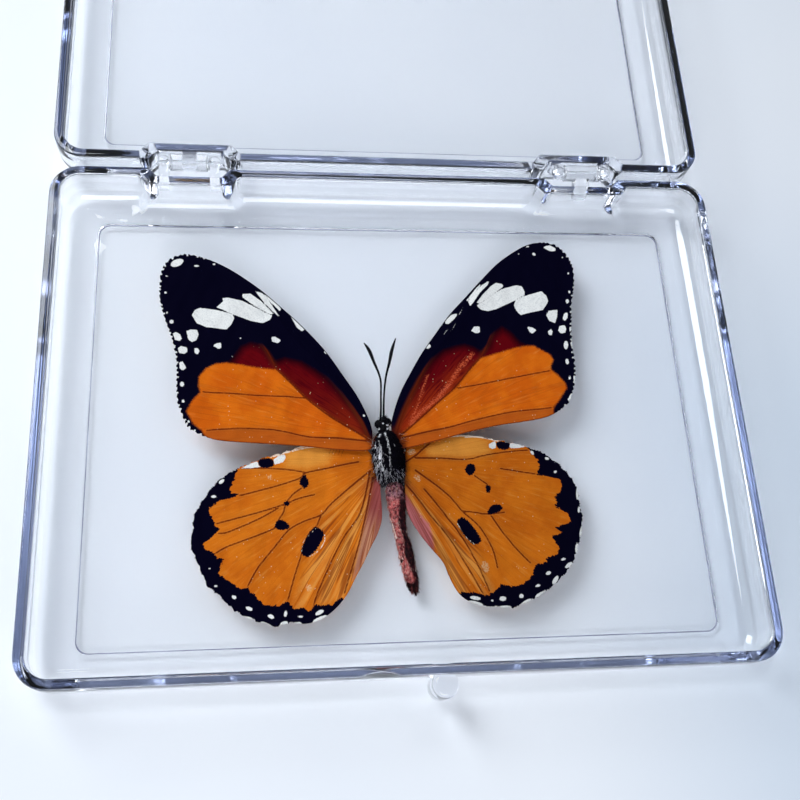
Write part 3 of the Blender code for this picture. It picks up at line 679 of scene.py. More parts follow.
class Nodes:
    """Short calls for building the nodes of a material, or of the world."""

    def __init__(self, name, world=False):
        self.owner = bpy.data.worlds.new(name) if world else bpy.data.materials.new(name)
        self.owner.use_nodes = True
        self.tree = self.owner.node_tree
        self.shader = self.tree.nodes["Background" if world else "Principled BSDF"]

    def add(self, kind, **settings):
        made = self.tree.nodes.new(kind)
        for key, value in settings.items():
            setattr(made, key, value)
        return made

    def feed(self, socket, value):
        if isinstance(value, bpy.types.NodeSocket):
            self.tree.links.new(value, socket)
        elif value is not None:
            socket.default_value = value

    def math(self, operation, a, b=None, c=None):
        made = self.add("ShaderNodeMath", operation=operation)
        for socket, value in zip(made.inputs, (a, b, c)):
            self.feed(socket, value)
        return made.outputs[0]

    def step(self, value, low, high):
        """0 below low, 1 above high, smooth between."""
        made = self.add("ShaderNodeMapRange", interpolation_type="SMOOTHSTEP")
        self.feed(made.inputs["Value"], value)
        self.feed(made.inputs["From Min"], low)
        self.feed(made.inputs["From Max"], high)
        return made.outputs["Result"]

    def mix(self, factor, a, b, blend="MIX"):
        made = self.add("ShaderNodeMix", data_type="RGBA", blend_type=blend)
        self.feed(made.inputs[0], factor)
        self.feed(made.inputs[6], a)
        self.feed(made.inputs[7], b)
        return made.outputs[2]

    def times(self, *factors):
        product = factors[0]
        for factor in factors[1:]:
            product = self.math("MULTIPLY", product, factor)
        return product

    def ramp(self, value, stops):
        made = self.add("ShaderNodeValToRGB")
        ramp = made.color_ramp
        while len(ramp.elements) < len(stops):
            ramp.elements.new(0.5)
        for element, (place, colour) in zip(ramp.elements, stops):
            element.position = place
            element.color = colour
        self.feed(made.inputs[0], value)
        return made.outputs[0]

    def attribute(self, name):
        return self.add("ShaderNodeAttribute", attribute_name=name).outputs["Fac"]

    def noise(self, per_mm, detail, rough=0.5):
        """Noise of about this many lumps per millimetre, from 0 to 1 about a half."""
        made = self.add("ShaderNodeTexNoise")
        self.feed(made.inputs["Vector"], self.place())
        made.inputs["Scale"].default_value = per_mm / MM
        made.inputs["Detail"].default_value = detail
        made.inputs["Roughness"].default_value = rough
        return made.outputs["Fac"]

    def cells(self, per_mm):
        """Distance from the middle of random cells, about this many per millimetre."""
        made = self.add("ShaderNodeTexVoronoi", feature="F1")
        self.feed(made.inputs["Vector"], self.place())
        made.inputs["Scale"].default_value = per_mm / MM
        return made.outputs["Distance"]

    def place(self):
        return self.add("ShaderNodeTexCoord").outputs["Object"]

    def bump(self, height, distance_mm, strength):
        made = self.add("ShaderNodeBump")
        made.inputs["Strength"].default_value = strength
        made.inputs["Distance"].default_value = distance_mm * MM
        self.feed(made.inputs["Height"], height)
        return made.outputs["Normal"]

    def surface(self, **values):
        for key, value in values.items():
            self.feed(self.shader.inputs[key.replace("_", " ")], value)
        return self.owner


def make_mesh(name, vertices, faces, attributes=(), sharp_angle=None):
    """A mesh object from points in millimetres."""
    mesh = bpy.data.meshes.new(name)
    mesh.from_pydata((np.asarray(vertices, float) * MM).tolist(), [], [list(face) for face in faces])
    mesh.validate()
    for key, values in dict(attributes).items():
        layer = mesh.attributes.new(key, "FLOAT", "POINT")
        layer.data.foreach_set("value", np.asarray(values, np.float32))
    mesh.shade_smooth()
    if sharp_angle:
        mesh.set_sharp_from_angle(angle=sharp_angle)
    obj = bpy.data.objects.new(name, mesh)
    bpy.context.collection.objects.link(obj)
    return obj


def dress(obj, material, body, nodes=()):
    """Give a piece its material and body, and hide the solids it stands for."""
    obj.data.materials.clear()
    obj.data.materials.append(material)
    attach(obj, body)
    if nodes:
        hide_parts(*nodes)


# Camera, floor and light


def set_camera():
    data = bpy.data.cameras.new("camera")
    data.sensor_width = SENSOR
    data.sensor_fit = "HORIZONTAL"
    data.lens = FOCAL_PIXELS / PHOTO_SIDE * SENSOR
    data.clip_start, data.clip_end = CLIP_RANGE
    obj = bpy.data.objects.new("camera", data)
    obj.location = Vector(CAMERA_PLACE) * MM
    obj.rotation_euler = CAMERA_TURN
    bpy.context.collection.objects.link(obj)
    bpy.context.scene.camera = obj


def set_floor():
    low, high = -TABLE_HALF, TABLE_HALF
    corners = [(x, y, FLOOR_DROP) for x, y in ((low, low), (high, low), (high, high), (low, high))]
    mesh = bpy.data.meshes.new("floor")
    mesh.from_pydata(corners, [], [(0, 1, 2, 3)])
    obj = bpy.data.objects.new("floor", mesh)
    bpy.context.collection.objects.link(obj)
    n = Nodes("table_top")
    cloudy = n.noise(0.01, 3)
    colour = n.mix(n.step(cloudy, 0.3, 0.7), linear(234, 238, 246), linear(240, 243, 249))
    # Painted shade: the table darkened towards its right front, where the lamp's light falls off
    split = n.add("ShaderNodeSeparateXYZ")
    n.feed(split.inputs[0], n.place())
    right = n.step(split.outputs["X"], *TABLE_SHADE_X)
    front = n.step(split.outputs["Y"], *TABLE_SHADE_Y)
    colour = n.mix(n.times(right, front), colour, TABLE_PAINTED_SHADE)
    mesh.materials.append(n.surface(Base_Color=colour, Roughness=TABLE_ROUGHNESS))


def area_light(name, place, target, size, power, colour):
    data = bpy.data.lights.new(name, "AREA")
    data.shape = "RECTANGLE"
    data.size, data.size_y = size
    data.energy = power
    data.color = colour
    obj = bpy.data.objects.new(name, data)
    obj.location = place
    obj.rotation_euler = (Vector(target) - Vector(place)).to_track_quat("-Z", "Y").to_euler()
    bpy.context.collection.objects.link(obj)


def set_light():
    n = Nodes("studio", world=True)
    split = n.add("ShaderNodeSeparateXYZ")
    n.feed(split.inputs[0], n.add("ShaderNodeTexCoord").outputs["Generated"])
    left = n.step(split.outputs["X"], LEFT_GLOW_FROM, LEFT_GLOW_FULL)
    colour = n.mix(left, n.ramp(split.outputs["Z"], SKY), LEFT_GLOW)
    scene = bpy.context.scene
    scene.world = n.surface(Color=colour, Strength=WORLD_STRENGTH)
    for lamp in LAMPS:
        area_light(*lamp)
    scene.view_settings.view_transform = "Standard"
    scene.cycles.blur_glossy = 0.0
    scene.cycles.max_bounces = PLASTIC_BOUNCES
    scene.cycles.glossy_bounces = PLASTIC_BOUNCES
    scene.cycles.transmission_bounces = PLASTIC_BOUNCES


# Clear box


def arc(centre, radius, start, end, steps):
    """Points on an arc, angles in degrees."""
    angles = np.radians(np.linspace(start, end, steps + 1))
    return [(centre[0] + radius * math.cos(a), centre[1] + radius * math.sin(a)) for a in angles]


def pocket_edge(centre, edge, inset, depth):
    """Back edge across one hinge pocket, from its right shoulder to its left one."""
    reach = POCKET_HALF_WIDTH + min(inset, WALL + INNER_FILLET)
    points = []
    for side, turn in ((1, lambda t: t), (-1, lambda t: 1 - t)):
        for i in range(SHOULDER_STEPS + 1):
            t = i / SHOULDER_STEPS
            points.append((centre + side * reach + POCKET_SLOPE * (0.5 - t), edge - depth * ease(turn(t))))
    return points


def outline(inset, inset_front, corner, pocket_depth, notch_depth):
    """Outline of the moulding moved in by an inset, anticlockwise from the front left corner."""
    side = BOX_WIDTH / 2 - inset
    back = HALF_DEPTH / 2 - inset
    front = -HALF_DEPTH / 2 + inset_front
    points = arc((-side + corner, front + corner), corner, 180, 270, CORNER_STEPS)
    for i in range(NOTCH_STEPS + 1):
        t = 2 * i / NOTCH_STEPS - 1
        points.append((NOTCH_CENTRE + NOTCH_HALF_WIDTH * t, front + notch_depth * (1 - t * t)))
    points += arc((side - corner, front + corner), corner, 270, 360, CORNER_STEPS)
    points += arc((side - corner, back - corner), corner, 0, 90, CORNER_STEPS)
    points += pocket_edge(HINGE_X, back, inset, pocket_depth)
    points += pocket_edge(-HINGE_X, back, inset, pocket_depth)
    points += arc((-side + corner, back - corner), corner, 90, 180, CORNER_STEPS)
    return points


def wall_loop(inset, height, notch_depth=0.0):
    corner = max(CORNER_RADIUS - inset, PANEL_STEP)
    return [(x, y, height) for x, y in outline(inset, inset, corner, POCKET_DEPTH, notch_depth)]


def panel_loop(extra, height):
    flat = outline(PANEL_INSET + extra, PANEL_INSET_FRONT + extra, PANEL_CORNER, 0.0, 0.0)
    return [(x, y, height) for x, y in flat]


def shell_loops():
    """The moulding's section, from the underside up the outside, over the rim and down to the floor panel."""
    section = arc((FOOT_ROUND, FOOT_ROUND), FOOT_ROUND, 270, 180, FOOT_STEPS)
    loops = [wall_loop(inset, height) for inset, height in section]
    loops.append(wall_loop(0.0, HALF_HEIGHT - NOTCH_HEIGHT))
    top = HALF_HEIGHT - RIM_ROUND
    for inset, height in arc((RIM_ROUND, top), RIM_ROUND, 180, 90, ROUND_STEPS):
        loops.append(wall_loop(inset, height, NOTCH_DEPTH))
    for inset, height in arc((WALL - RIM_ROUND, top), RIM_ROUND, 90, 0, ROUND_STEPS):
        loops.append(wall_loop(inset, height))
    centre = (WALL + INNER_FILLET, STRIP_FLOOR + INNER_FILLET)
    loops += [wall_loop(inset, height) for inset, height in arc(centre, INNER_FILLET, 180, 270, FILLET_STEPS)]
    loops.append(panel_loop(0.0, STRIP_FLOOR))
    loops.append(panel_loop(PANEL_STEP, FLOOR))
    return loops


def skin(bm, loops):
    """Join equal loops of points into one closed skin, capped at both ends."""
    rings = [[bm.verts.new(point) for point in loop] for loop in loops]
    for lower, upper in zip(rings, rings[1:]):
        for i, vert in enumerate(lower):
            j = (i + 1) % len(lower)
            bm.faces.new((vert, lower[j], upper[j], upper[i]))
    bm.faces.new(list(reversed(rings[0])))
    bm.faces.new(rings[-1])


def bracket(bm, x, width, end_radius):
    """A rib from a pocket's outer wall up to the hinge axis, rounded about the axis."""
    wall_y = HALF_DEPTH / 2 - POCKET_DEPTH - BRACKET_ROOT
    tip = arc((AXIS_Y, AXIS_Z), end_radius, *BRACKET_ARC, BRACKET_STEPS)
    section = [(wall_y, HALF_HEIGHT - BRACKET_DROP), *tip, (wall_y, HALF_HEIGHT - RIM_ROUND)]
    skin(bm, [[(side, y, z) for y, z in section] for side in (x - width / 2, x + width / 2)])


def on_hinge(x):
    """The place on the hinge axis at x, turned so that a form's own Z lies along the axis."""
    return Matrix.Translation((x, AXIS_Y, AXIS_Z)) @ Matrix.Rotation(math.pi / 2, 4, "Y")


def ball(bm, x, radius):
    bmesh.ops.create_uvsphere(
        bm, u_segments=BALL_SIDES, v_segments=BALL_SIDES // 2, radius=radius, matrix=on_hinge(x),
    )


def barrel(bm, x):
    bmesh.ops.create_cone(
        bm, cap_ends=True, segments=BARREL_SIDES, radius1=BARREL_RADIUS, radius2=BARREL_RADIUS,
        depth=2 * BARREL_HALF_LENGTH, matrix=on_hinge(x),
    )


def knob(bm):
    """The catch knob: an upright stub in front of the wall, with a rounded top."""
    centre_y = -HALF_DEPTH / 2 - KNOB_REACH
    levels = arc((KNOB_RADIUS - KNOB_EDGE, KNOB_BOTTOM + KNOB_EDGE), KNOB_EDGE, -90, 0, ROUND_STEPS)
    dome_centre = (KNOB_RADIUS - KNOB_DOME, HALF_HEIGHT - RIM_ROUND - KNOB_DOME)
    levels += arc(dome_centre, KNOB_DOME, 0, 90, DOME_STEPS)
    last = 360 - 360 / KNOB_SIDES
    loops = []
    for radius, height in levels:
        ring = arc((KNOB_X, centre_y), radius, 0, last, KNOB_SIDES - 1)
        loops.append([(x, y, height) for x, y in ring])
    skin(bm, loops)


def tool(build, *args):
    """A loose object built by one of the functions above, to be joined on to the shell."""
    bm = bmesh.new()
    build(bm, *args)
    bmesh.ops.recalc_face_normals(bm, faces=bm.faces)
    mesh = bpy.data.meshes.new("tool")
    bm.to_mesh(mesh)
    bm.free()
    obj = bpy.data.objects.new("tool", mesh)
    bpy.context.collection.objects.link(obj)
    return obj


def combine(target, helper, operation):
    modifier = target.modifiers.new("join", "BOOLEAN")
    modifier.operation = operation
    modifier.solver = "EXACT"
    modifier.object = helper
    depsgraph = bpy.context.evaluated_depsgraph_get()
    mesh = bpy.data.meshes.new_from_object(target.evaluated_get(depsgraph))
    target.modifiers.clear()
    old = target.data
    target.data = mesh
    bpy.data.meshes.remove(old)
    bpy.data.objects.remove(helper, do_unlink=True)


def moulding():
    """One half of the box in millimetres, as a mesh: the shell with its ears, barrel and knob joined on."""
    half = tool(skin, shell_loops())
    for side in (-EAR_OFFSET, EAR_OFFSET):
        combine(half, tool(bracket, -HINGE_X + side, EAR_WIDTH, EAR_TIP_RADIUS), "UNION")
        combine(half, tool(ball, -HINGE_X + side, BALL_RADIUS), "UNION")
    combine(half, tool(bracket, HINGE_X, WEB_WIDTH, WEB_TIP_RADIUS), "UNION")
    combine(half, tool(barrel, HINGE_X), "UNION")
    for side in (-EAR_OFFSET, EAR_OFFSET):
        combine(half, tool(ball, HINGE_X + side, SOCKET_RADIUS), "DIFFERENCE")
    combine(half, tool(knob), "UNION")
    mesh = half.data
    bpy.data.objects.remove(half, do_unlink=True)
    return mesh


def clear_plastic():
    n = Nodes("clear_polystyrene")
    absorb = n.add("ShaderNodeVolumeAbsorption")
    absorb.inputs["Color"].default_value = PLASTIC_TINT
    absorb.inputs["Density"].default_value = PLASTIC_DENSITY
    n.tree.links.new(absorb.outputs[0], n.tree.nodes["Material Output"].inputs["Volume"])
    return n.surface(
        Base_Color=(1.0, 1.0, 1.0, 1.0), Roughness=PLASTIC_ROUGHNESS, IOR=PLASTIC_IOR,
        Transmission_Weight=1.0,
    )


def painted_panel_shade():
    # Opaque grey-violet: painted shade for the dark line the clear step shows
    n = Nodes("painted_panel_shade")
    cloudy = n.step(n.noise(0.2, 2), 0.35, 0.65)
    return n.surface(Base_Color=n.mix(cloudy, linear(120, 122, 150), linear(168, 172, 196)), Roughness=0.4)


def panel_shade_line(place):
    """The dark line along the sharp edge round the sunk floor panel, as a fine bead of painted shade on the
    floor.
    """
    near, far = PANEL_STEP, PANEL_STEP + PANEL_LINE_WIDTH
    top = FLOOR + PANEL_LINE_HEIGHT
    section = ((near, FLOOR), (near, top), (far, top), (far, FLOOR))
    loops = [panel_loop(extra, height) for extra, height in section]
    count = len(loops[0])
    faces = []
    for ring in range(4):
        this, other = ring * count, (ring + 1) % 4 * count
        for i in range(count):
            j = (i + 1) % count
            faces.append((this + i, this + j, other + j, other + i))
    return [tuple(place @ Vector(point)) for loop in loops for point in loop], faces


def build_box():
    mesh = moulding()
    plastic = clear_plastic()
    panel_shade_look = painted_panel_shade()
    half_turn = Matrix.Translation((0, 2 * AXIS_Y, 0)) @ Matrix.Rotation(math.pi, 4, "Z")
    for name, place in (("tray", Matrix.Identity(4)), ("lid", half_turn)):
        copy = mesh.copy()
        copy.transform(Matrix.Scale(MM, 4) @ place)
        copy.shade_smooth()
        copy.set_sharp_from_angle(angle=BOX_SHARP_ANGLE)
        obj = bpy.data.objects.new(f"{name}_clear", copy)
        bpy.context.collection.objects.link(obj)
        dress(obj, plastic, name, (name,))
        # A dark bead of painted shade along the floor panel's edge
        line = make_mesh(f"{name}_panel_shade_line", *panel_shade_line(place))
        dress(line, panel_shade_look, name)


# Wings


class Wing:
    """One wing: its outline, markings and veins, turned from photo pixels to millimetres."""

    def __init__(self, node, tone, outline_px, warm, white, veins, dots, fringe, glow, dull, bright=(),
                 black=(), pink=(), fold=(), worn_and_sheen=()):
        self.node = node
        self.tone = tone
        self.fore = node.startswith("fore")
        self.base = FOREWING_HEIGHT if self.fore else HINDWING_HEIGHT
        self.root_y = FORE_ROOT_Y if self.fore else HIND_ROOT_Y
        self.outline = spline(self.flat(outline_px), OUTLINE_STEPS)
        self.warm, self.dull = self.flat(warm), self.flat(dull)
        self.bright, self.pink, self.fold = self.flat(bright), self.flat(pink), self.flat(fold)
        self.white = [self.flat(shape) for shape in white] + self.ovals(dots)
        self.fringe = self.ovals(fringe)
        self.worn_and_sheen = self.ovals(worn_and_sheen)
        self.black = [spline(self.flat(shape), SPOT_STEPS) for shape in black]
        self.veins = [self.curve(vein) for vein in veins]
        self.glow = [(self.curve(line), half) for line, half in glow]

    def flat(self, points):
        return np.array([on_wing(u, v, self.base) for u, v in points])

    def ovals(self, shapes):
        return [self.flat(oval(*shape)) for shape in shapes]

    def curve(self, line):
        return spline(self.flat(line), OUTLINE_STEPS, closed=False)


def ease(t):
    """0 below 0, 1 above 1, smooth between, for a number or an array."""
    t = np.clip(t, 0.0, 1.0)
    return t * t * (3 - 2 * t)


def smooth_noise(points, period, seed):
    """Gentle random waves over the plane, about -1 to 1."""
    random = np.random.RandomState(seed)
    total = np.zeros(len(points))
    for _ in range(NOISE_WAVES):
        angle = random.uniform(0, math.pi)
        wave = random.uniform(0.7, 1.5) * math.tau / period
        phase = random.uniform(0, math.tau)
        total += np.sin((points[:, 0] * math.cos(angle) + points[:, 1] * math.sin(angle)) * wave + phase)
    return total / (NOISE_WAVES / 2)


def toothed_rim(wing, seed, random):
    """The outline with the teeth and the fraying of its outer margin, and the points between two teeth."""
    rim = even(wing.outline, RIM_GRAIN)
    outward = rim - rim.mean(axis=0)
    outward /= np.linalg.norm(outward, axis=1)[:, None]
    start, length, height = FORE_TEETH if wing.fore else HIND_TEETH
    on_margin = ease((np.abs(rim[:, 0] - BODY_X) - start) / TEETH_FADE)
    along = np.arange(len(rim)) * RIM_GRAIN
    wave = np.sin(along * math.tau / length + 2.0 * smooth_noise(rim, 4.0, seed))
    teeth = height * (wave - 1) * 0.5
    trough = (wave < np.roll(wave, 1)) & (wave < np.roll(wave, -1)) & (on_margin > 0.6)
    trough &= random.rand(len(rim)) < TICK_SHARE
    fray = random.uniform(*(FORE_FRAY if wing.fore else HIND_FRAY), len(rim))
    rim = rim + outward * ((teeth + fray) * on_margin)[:, None]
    return rim, rim[trough]


def filled(rim, random):
    """Points all over the shape within the rim, and the triangles between them."""
    low, high = rim.min(axis=0), rim.max(axis=0)
    inner = []
    for row, y in enumerate(np.arange(low[1], high[1], WING_GRAIN * ROW_STEP)):
        xs = np.arange(low[0] + (row % 2) * WING_GRAIN / 2, high[0], WING_GRAIN)
        inner.append(np.stack([xs, np.full(len(xs), y)], axis=1))
    inner = np.vstack(inner)
    inner = inner + random.uniform(-WING_SHIFT, WING_SHIFT, inner.shape)
    inner = inner[depth_in(inner, rim) > WING_GRAIN * 0.4]
    points = [Vector(point) for point in np.vstack([rim, inner])]
    edges = [(i, (i + 1) % len(rim)) for i in range(len(rim))]
    found = delaunay_2d_cdt(points, edges, [], 1, 1e-6)
    return np.array([tuple(point) for point in found[0]]), np.array(found[2])


def wing_mesh(wing, seed):
    """A thin closed sheet with the wing's outline, raised veins and its markings as distances."""
    random = np.random.RandomState(seed)
    rim, troughs = toothed_rim(wing, seed, random)
    flat, triangles = filled(rim, random)
    data = markings(wing, flat)
    if wing.fore:
        for tick in troughs:
            data["fringe"] = np.maximum(data["fringe"], TICK_RADIUS - np.linalg.norm(flat - tick, axis=1))
    middle = np.array([wing_height(x, wing.base) for x in flat[:, 0]]) + wing_relief(flat, data, seed)
    size = len(flat)
    faces = [tuple(t) for t in triangles] + [tuple(size + i for i in reversed(t)) for t in triangles]
    faces += [(b, a, size + a, size + b) for a, b in boundary_edges(triangles)]
    attributes = {key: np.tile(values, 2) for key, values in data.items()}
    attributes["under"] = np.repeat((0.0, 1.0), size)
    sheets = [np.column_stack([flat, middle + side * WING_SKIN / 2]) for side in (1, -1)]
    return np.vstack(sheets), faces, attributes


def boundary_edges(triangles):
    """The directed edges that only one triangle has."""
    seen = {}
    for t in triangles:
        for a, b in ((t[0], t[1]), (t[1], t[2]), (t[2], t[0])):
            seen[(int(a), int(b))] = True
    return [(a, b) for a, b in seen if (b, a) not in seen]


def deepest(points, shapes):
    """Signed distance to the nearest of several shapes, positive inside one."""
    best = np.full(len(points), -FAR)
    for shape in shapes:
        best = np.maximum(best, depth_in(points, shape))
    return best


def markings(wing, points):
    """Distances, in millimetres, from each point of a wing to its markings."""
    from_root = points - np.array([BODY_X, wing.root_y])
    vein = np.full(len(points), FAR)
    for line in wing.veins:
        vein = np.minimum(vein, to_edges(points, line, False))
    glow = np.full(len(points), -FAR)
    for line, half in wing.glow:
        glow = np.maximum(glow, half - to_edges(points, line, False))
    found = {
        "vein": vein,
        "glow": glow,
        "rim": to_edges(points, wing.outline, True),
        "away": np.linalg.norm(from_root, axis=1),
        "fan": np.arctan2(from_root[:, 1], np.abs(from_root[:, 0])) * FAN_REACH,
        "tone": np.full(len(points), wing.tone),
        "warm": depth_in(points, wing.warm),
        "dull": depth_in(points, wing.dull),
        "white": deepest(points, wing.white),
        "fringe": deepest(points, wing.fringe),
    }
    if wing.fore:
        found["bright"] = depth_in(points, wing.bright)
    else:
        found["spot"] = deepest(points, wing.black)
        found["pink"] = depth_in(points, wing.pink)
        found["fold"] = depth_in(points, wing.fold)
        found["worn_and_sheen"] = deepest(points, wing.worn_and_sheen)
    return found


def wing_relief(points, data, seed):
    """Height of veins, pleats and waves above a wing's middle surface."""
    edge = ease(data["rim"] / EDGE_REACH)
    height, half = VEIN_RIDGE
    depth, reach = PLEAT
    relief = height * np.exp(-(data["vein"] / half) ** 2) - depth * ease(data["vein"] / reach)
    for k, (size, period) in enumerate(WAVES):
        relief += size * smooth_noise(points, period, seed + k)
    return edge * relief - (1 - edge) * EDGE_DROP


def fan_noise(n, scale, stretch, detail):
    """Noise drawn out along the lines that fan out from a wing's root."""
    fan = n.add("ShaderNodeCombineXYZ")
    n.feed(fan.inputs[0], n.attribute("fan"))
    n.feed(fan.inputs[1], n.math("MULTIPLY", n.attribute("away"), stretch))
    made = n.add("ShaderNodeTexNoise")
    n.feed(made.inputs["Vector"], fan.outputs[0])
    made.inputs["Scale"].default_value = scale
    made.inputs["Detail"].default_value = detail
    return made.outputs["Fac"]


class WingNodes(Nodes):
    """The noises that all parts of a wing's colour share, and short calls for its distances."""

    def __init__(self, name, hind):
        super().__init__(name)
        self.hind = hind
        self.fine = self.noise(4.5, 2)
        self.grain = self.noise(12.0, 1)
        self.broad = self.noise(0.16, 3, 0.6)
        self.streak = fan_noise(self, 2.2, 0.12, 3.0)
        wander = self.math("ABSOLUTE", self.math("SUBTRACT", fan_noise(self, 0.85, 0.06, 1.0), 0.5))
        self.crease = self.step(wander, 0.035, 0.004)
        self.jitter = self.math("MULTIPLY_ADD", self.fine, 0.34, -0.17)

    def near(self, key, amount=1.0):
        """A distance with a ragged edge."""
        return self.math("MULTIPLY_ADD", self.jitter, amount, self.attribute(key))

    def band(self, key, low, high):
        return self.step(self.attribute(key), low, high)

    def streaked(self, low, high):
        return self.step(self.streak, low, high)

    def lay(self, under, factor, over):
        """One colour laid over another by a factor, or by the product of several."""
        return self.mix(self.times(*factor) if isinstance(factor, tuple) else factor, under, over)


def ground(n):
    """Orange with broad clouds and fine streaks."""
    warm, deep, pale = (OCHRE, OCHRE_DEEP, OCHRE_PALE) if n.hind else (ORANGE, ORANGE_DEEP, ORANGE_PALE)
    colour = n.lay(warm, (n.step(n.broad, 0.4, 0.62), 0.7), deep)
    colour = n.lay(colour, (n.streaked(0.5, 0.75), 0.4), deep)
    return n.lay(colour, (n.streaked(0.46, 0.25), 0.35), pale), pale


def hindwing_colour(n, colour):
    """Paler front edge, folds with painted highlight and shade on their pleats, pink by the body, wear and
    painted sheen, black border.
    """
    colour = n.lay(colour, (n.step(n.near("dull", 4.0), -0.9, 1.2), 0.8), DULL_FOLD)
    fold = n.step(n.near("fold", 3.0), -0.6, 1.4)
    pleats = fan_noise(n, 0.8, 0.05, 1.0)
    # Painted highlight on the pleat ridges and painted shade in their creases
    colour = n.lay(colour, (fold, n.step(pleats, 0.58, 0.4), 0.6), PLEAT_HIGHLIGHT)
    colour = n.lay(colour, (fold, n.step(pleats, 0.55, 0.63), 0.25), CREASE_SHADE)
    colour = n.lay(colour, (fold, n.band("away", 9.0, 3.0), 0.6), PINK_SHADE)
    left = n.band("tone", 0.9, 0.95)
    pink = n.lay(PINK_FOLD, left, PINK_DUSK)
    pink = n.lay(pink, (left, n.band("away", 8.0, 14.0), 0.85), PINK_BEIGE)
    # Painted shade in the pleats of the pink
    pink = n.lay(pink, (n.step(pleats, 0.46, 0.6), 0.6), PINK_SHADE)
    colour = n.lay(colour, n.step(n.near("pink", 1.5), -0.3, 0.35), pink)
    # Painted shade in the fine creases
    colour = n.lay(colour, (n.crease, n.math("MULTIPLY_ADD", fold, 0.6, 0.12)), CREASE_SHADE)
    # Worn patches: partly real wear, partly painted sheen
    worn_and_sheen = n.times(n.step(n.near("worn_and_sheen", 2.5), -0.15, 0.2), n.step(n.fine, 0.3, 0.6))
    colour = n.lay(colour, (worn_and_sheen, 0.8), WORN_AND_SHEEN)
    border = n.math("ADD", n.near("warm", 1.5), n.math("MULTIPLY_ADD", n.streak, 1.3, -0.65))
    colour = n.lay(BLACK_SCALES, n.step(border, -0.05, 0.06), colour)
    front = n.times(n.step(n.near("rim", 0.6), 0.34, 0.18), n.band("dull", -2.5, -1.0))
    return n.lay(colour, (front, 0.85), CREAM)


def forewing_colour(n, colour):
    """Black shading to maroon, rust beside the cell, the orange field with its darker rear strip, painted
    crease shade and highlight streaks.
    """
    maroon = n.ramp(n.math("DIVIDE", n.near("warm"), 6.0), (
        (0.0, BLACK_SCALES), (0.08, MAROON_DARK), (0.3, MAROON), (1.0, MAROON),
    ))
    coloured = n.band("warm", 0.3, 1.8)
    maroon = n.lay(maroon, (n.band("away", 15.0, 4.0), coloured, 0.42), RUST)
    right = n.math("MULTIPLY_ADD", n.band("tone", 0.99, 0.98), 0.7, 0.15)
    beside_cell = n.times(
        n.band("bright", -4.6, -0.6), n.band("away", 23.0, 15.0), n.streaked(0.7, 0.35), right,
    )
    maroon = n.lay(maroon, (beside_cell, coloured), RUST)
    maroon = n.lay(maroon, (n.streaked(0.48, 0.7), coloured, 0.3), MAROON_DARK)
    colour = n.lay(colour, (n.step(n.near("dull", 0.6), -0.1, 0.15), 0.7), LOW_ORANGE)
    # Painted shade in the fine creases
    colour = n.lay(colour, (n.crease, 0.2), CREASE_SHADE)
    colour = n.lay(maroon, n.step(n.near("bright", 1.6), -0.35, 0.2), colour)
    # Painted highlight streaks along the glow lines, where the scales glitter
    ragged = n.math("ADD", n.near("glow", 3.0), n.math("MULTIPLY_ADD", n.streak, 1.4, -0.7))
    return n.lay(colour, (n.step(ragged, -0.3, 0.3), n.step(n.fine, 0.34, 0.6), 0.75), GLOW_HIGHLIGHT)


def with_veins(n, colour, pale):
    """Brown veins with painted shade beside them and a painted highlight along their edge, the brown rim,
    pale specks partly dust and partly painted glints, and the brown root, partly painted shade by the body.
    """
    near_root = n.band("away", 16.0, 4.0)
    over_colour = n.band("warm", -0.1, 0.5)
    vein = n.step(n.math("MULTIPLY_ADD", near_root, -0.03, n.near("vein", 0.25)), 0.2, 0.07)
    # Painted highlight along each vein's edge
    beside = n.times(n.band("vein", 0.34, 0.2), n.band("vein", 0.1, 0.2), over_colour)
    colour = n.lay(colour, (beside, 0.24 if n.hind else n.times(n.band("bright", 0.1, 0.5), 0.2)), pale)
    # Painted shade beside each vein
    vein_shade = n.times(n.band("vein", 0.9, 0.1), over_colour)
    colour = n.lay(colour, (vein_shade, n.math("MULTIPLY_ADD", near_root, 0.16, 0.14)), CREASE_SHADE)
    colour = n.lay(colour, (vein, over_colour, 0.88), VEIN_BROWN)
    rim = n.step(n.near("rim", 0.3), 0.2, 0.08)
    colour = n.lay(colour, (rim, over_colour, 0.25 if n.hind else 0.75), VEIN_BROWN)
    # Pale specks: partly dust, partly painted glints of the scales
    dust_and_glint = n.times(n.step(n.noise(0.5, 1), 0.5, 0.6), n.band("warm", 0.6, 2.0))
    colour = n.lay(colour, (n.step(n.cells(1.3), 0.15, 0.07), dust_and_glint, 0.6), GLINT)
    # Brown root: partly its own colour, partly painted shade where the wing meets the body
    return n.lay(colour, (n.step(n.near("away", 5.0), 3.6, 1.8), 0.7), ROOT_BROWN_SHADE)


def with_spots(n, colour):
    """Black spots and pale lines of a hindwing, white spots, and the white fringe."""
    if n.hind:
        colour = n.lay(colour, n.step(n.near("spot", 1.9), -0.06, 0.08), BLACK_SCALES)
        colour = n.lay(colour, (n.step(n.near("glow", 0.4), -0.04, 0.05), 0.85), CREAM)
    white = n.lay(WHITE_SCALES, (n.step(n.fine, 0.42, 0.72), 0.5), WHITE_SHADE)
    white = n.lay(white, (n.streaked(0.52, 0.7), 0.45), WHITE_SHADE)
    inboard = 1.0 if n.hind else n.step(n.near("rim", 0.3), 0.1, 0.2)
    colour = n.lay(colour, (n.step(n.near("white", 0.7), 0.0, 0.08), inboard), white)
    outward = 0.05 if n.hind else 0.0
    return n.lay(colour, n.step(n.near("fringe", 0.6), -0.04 - outward, 0.04 - outward), white)


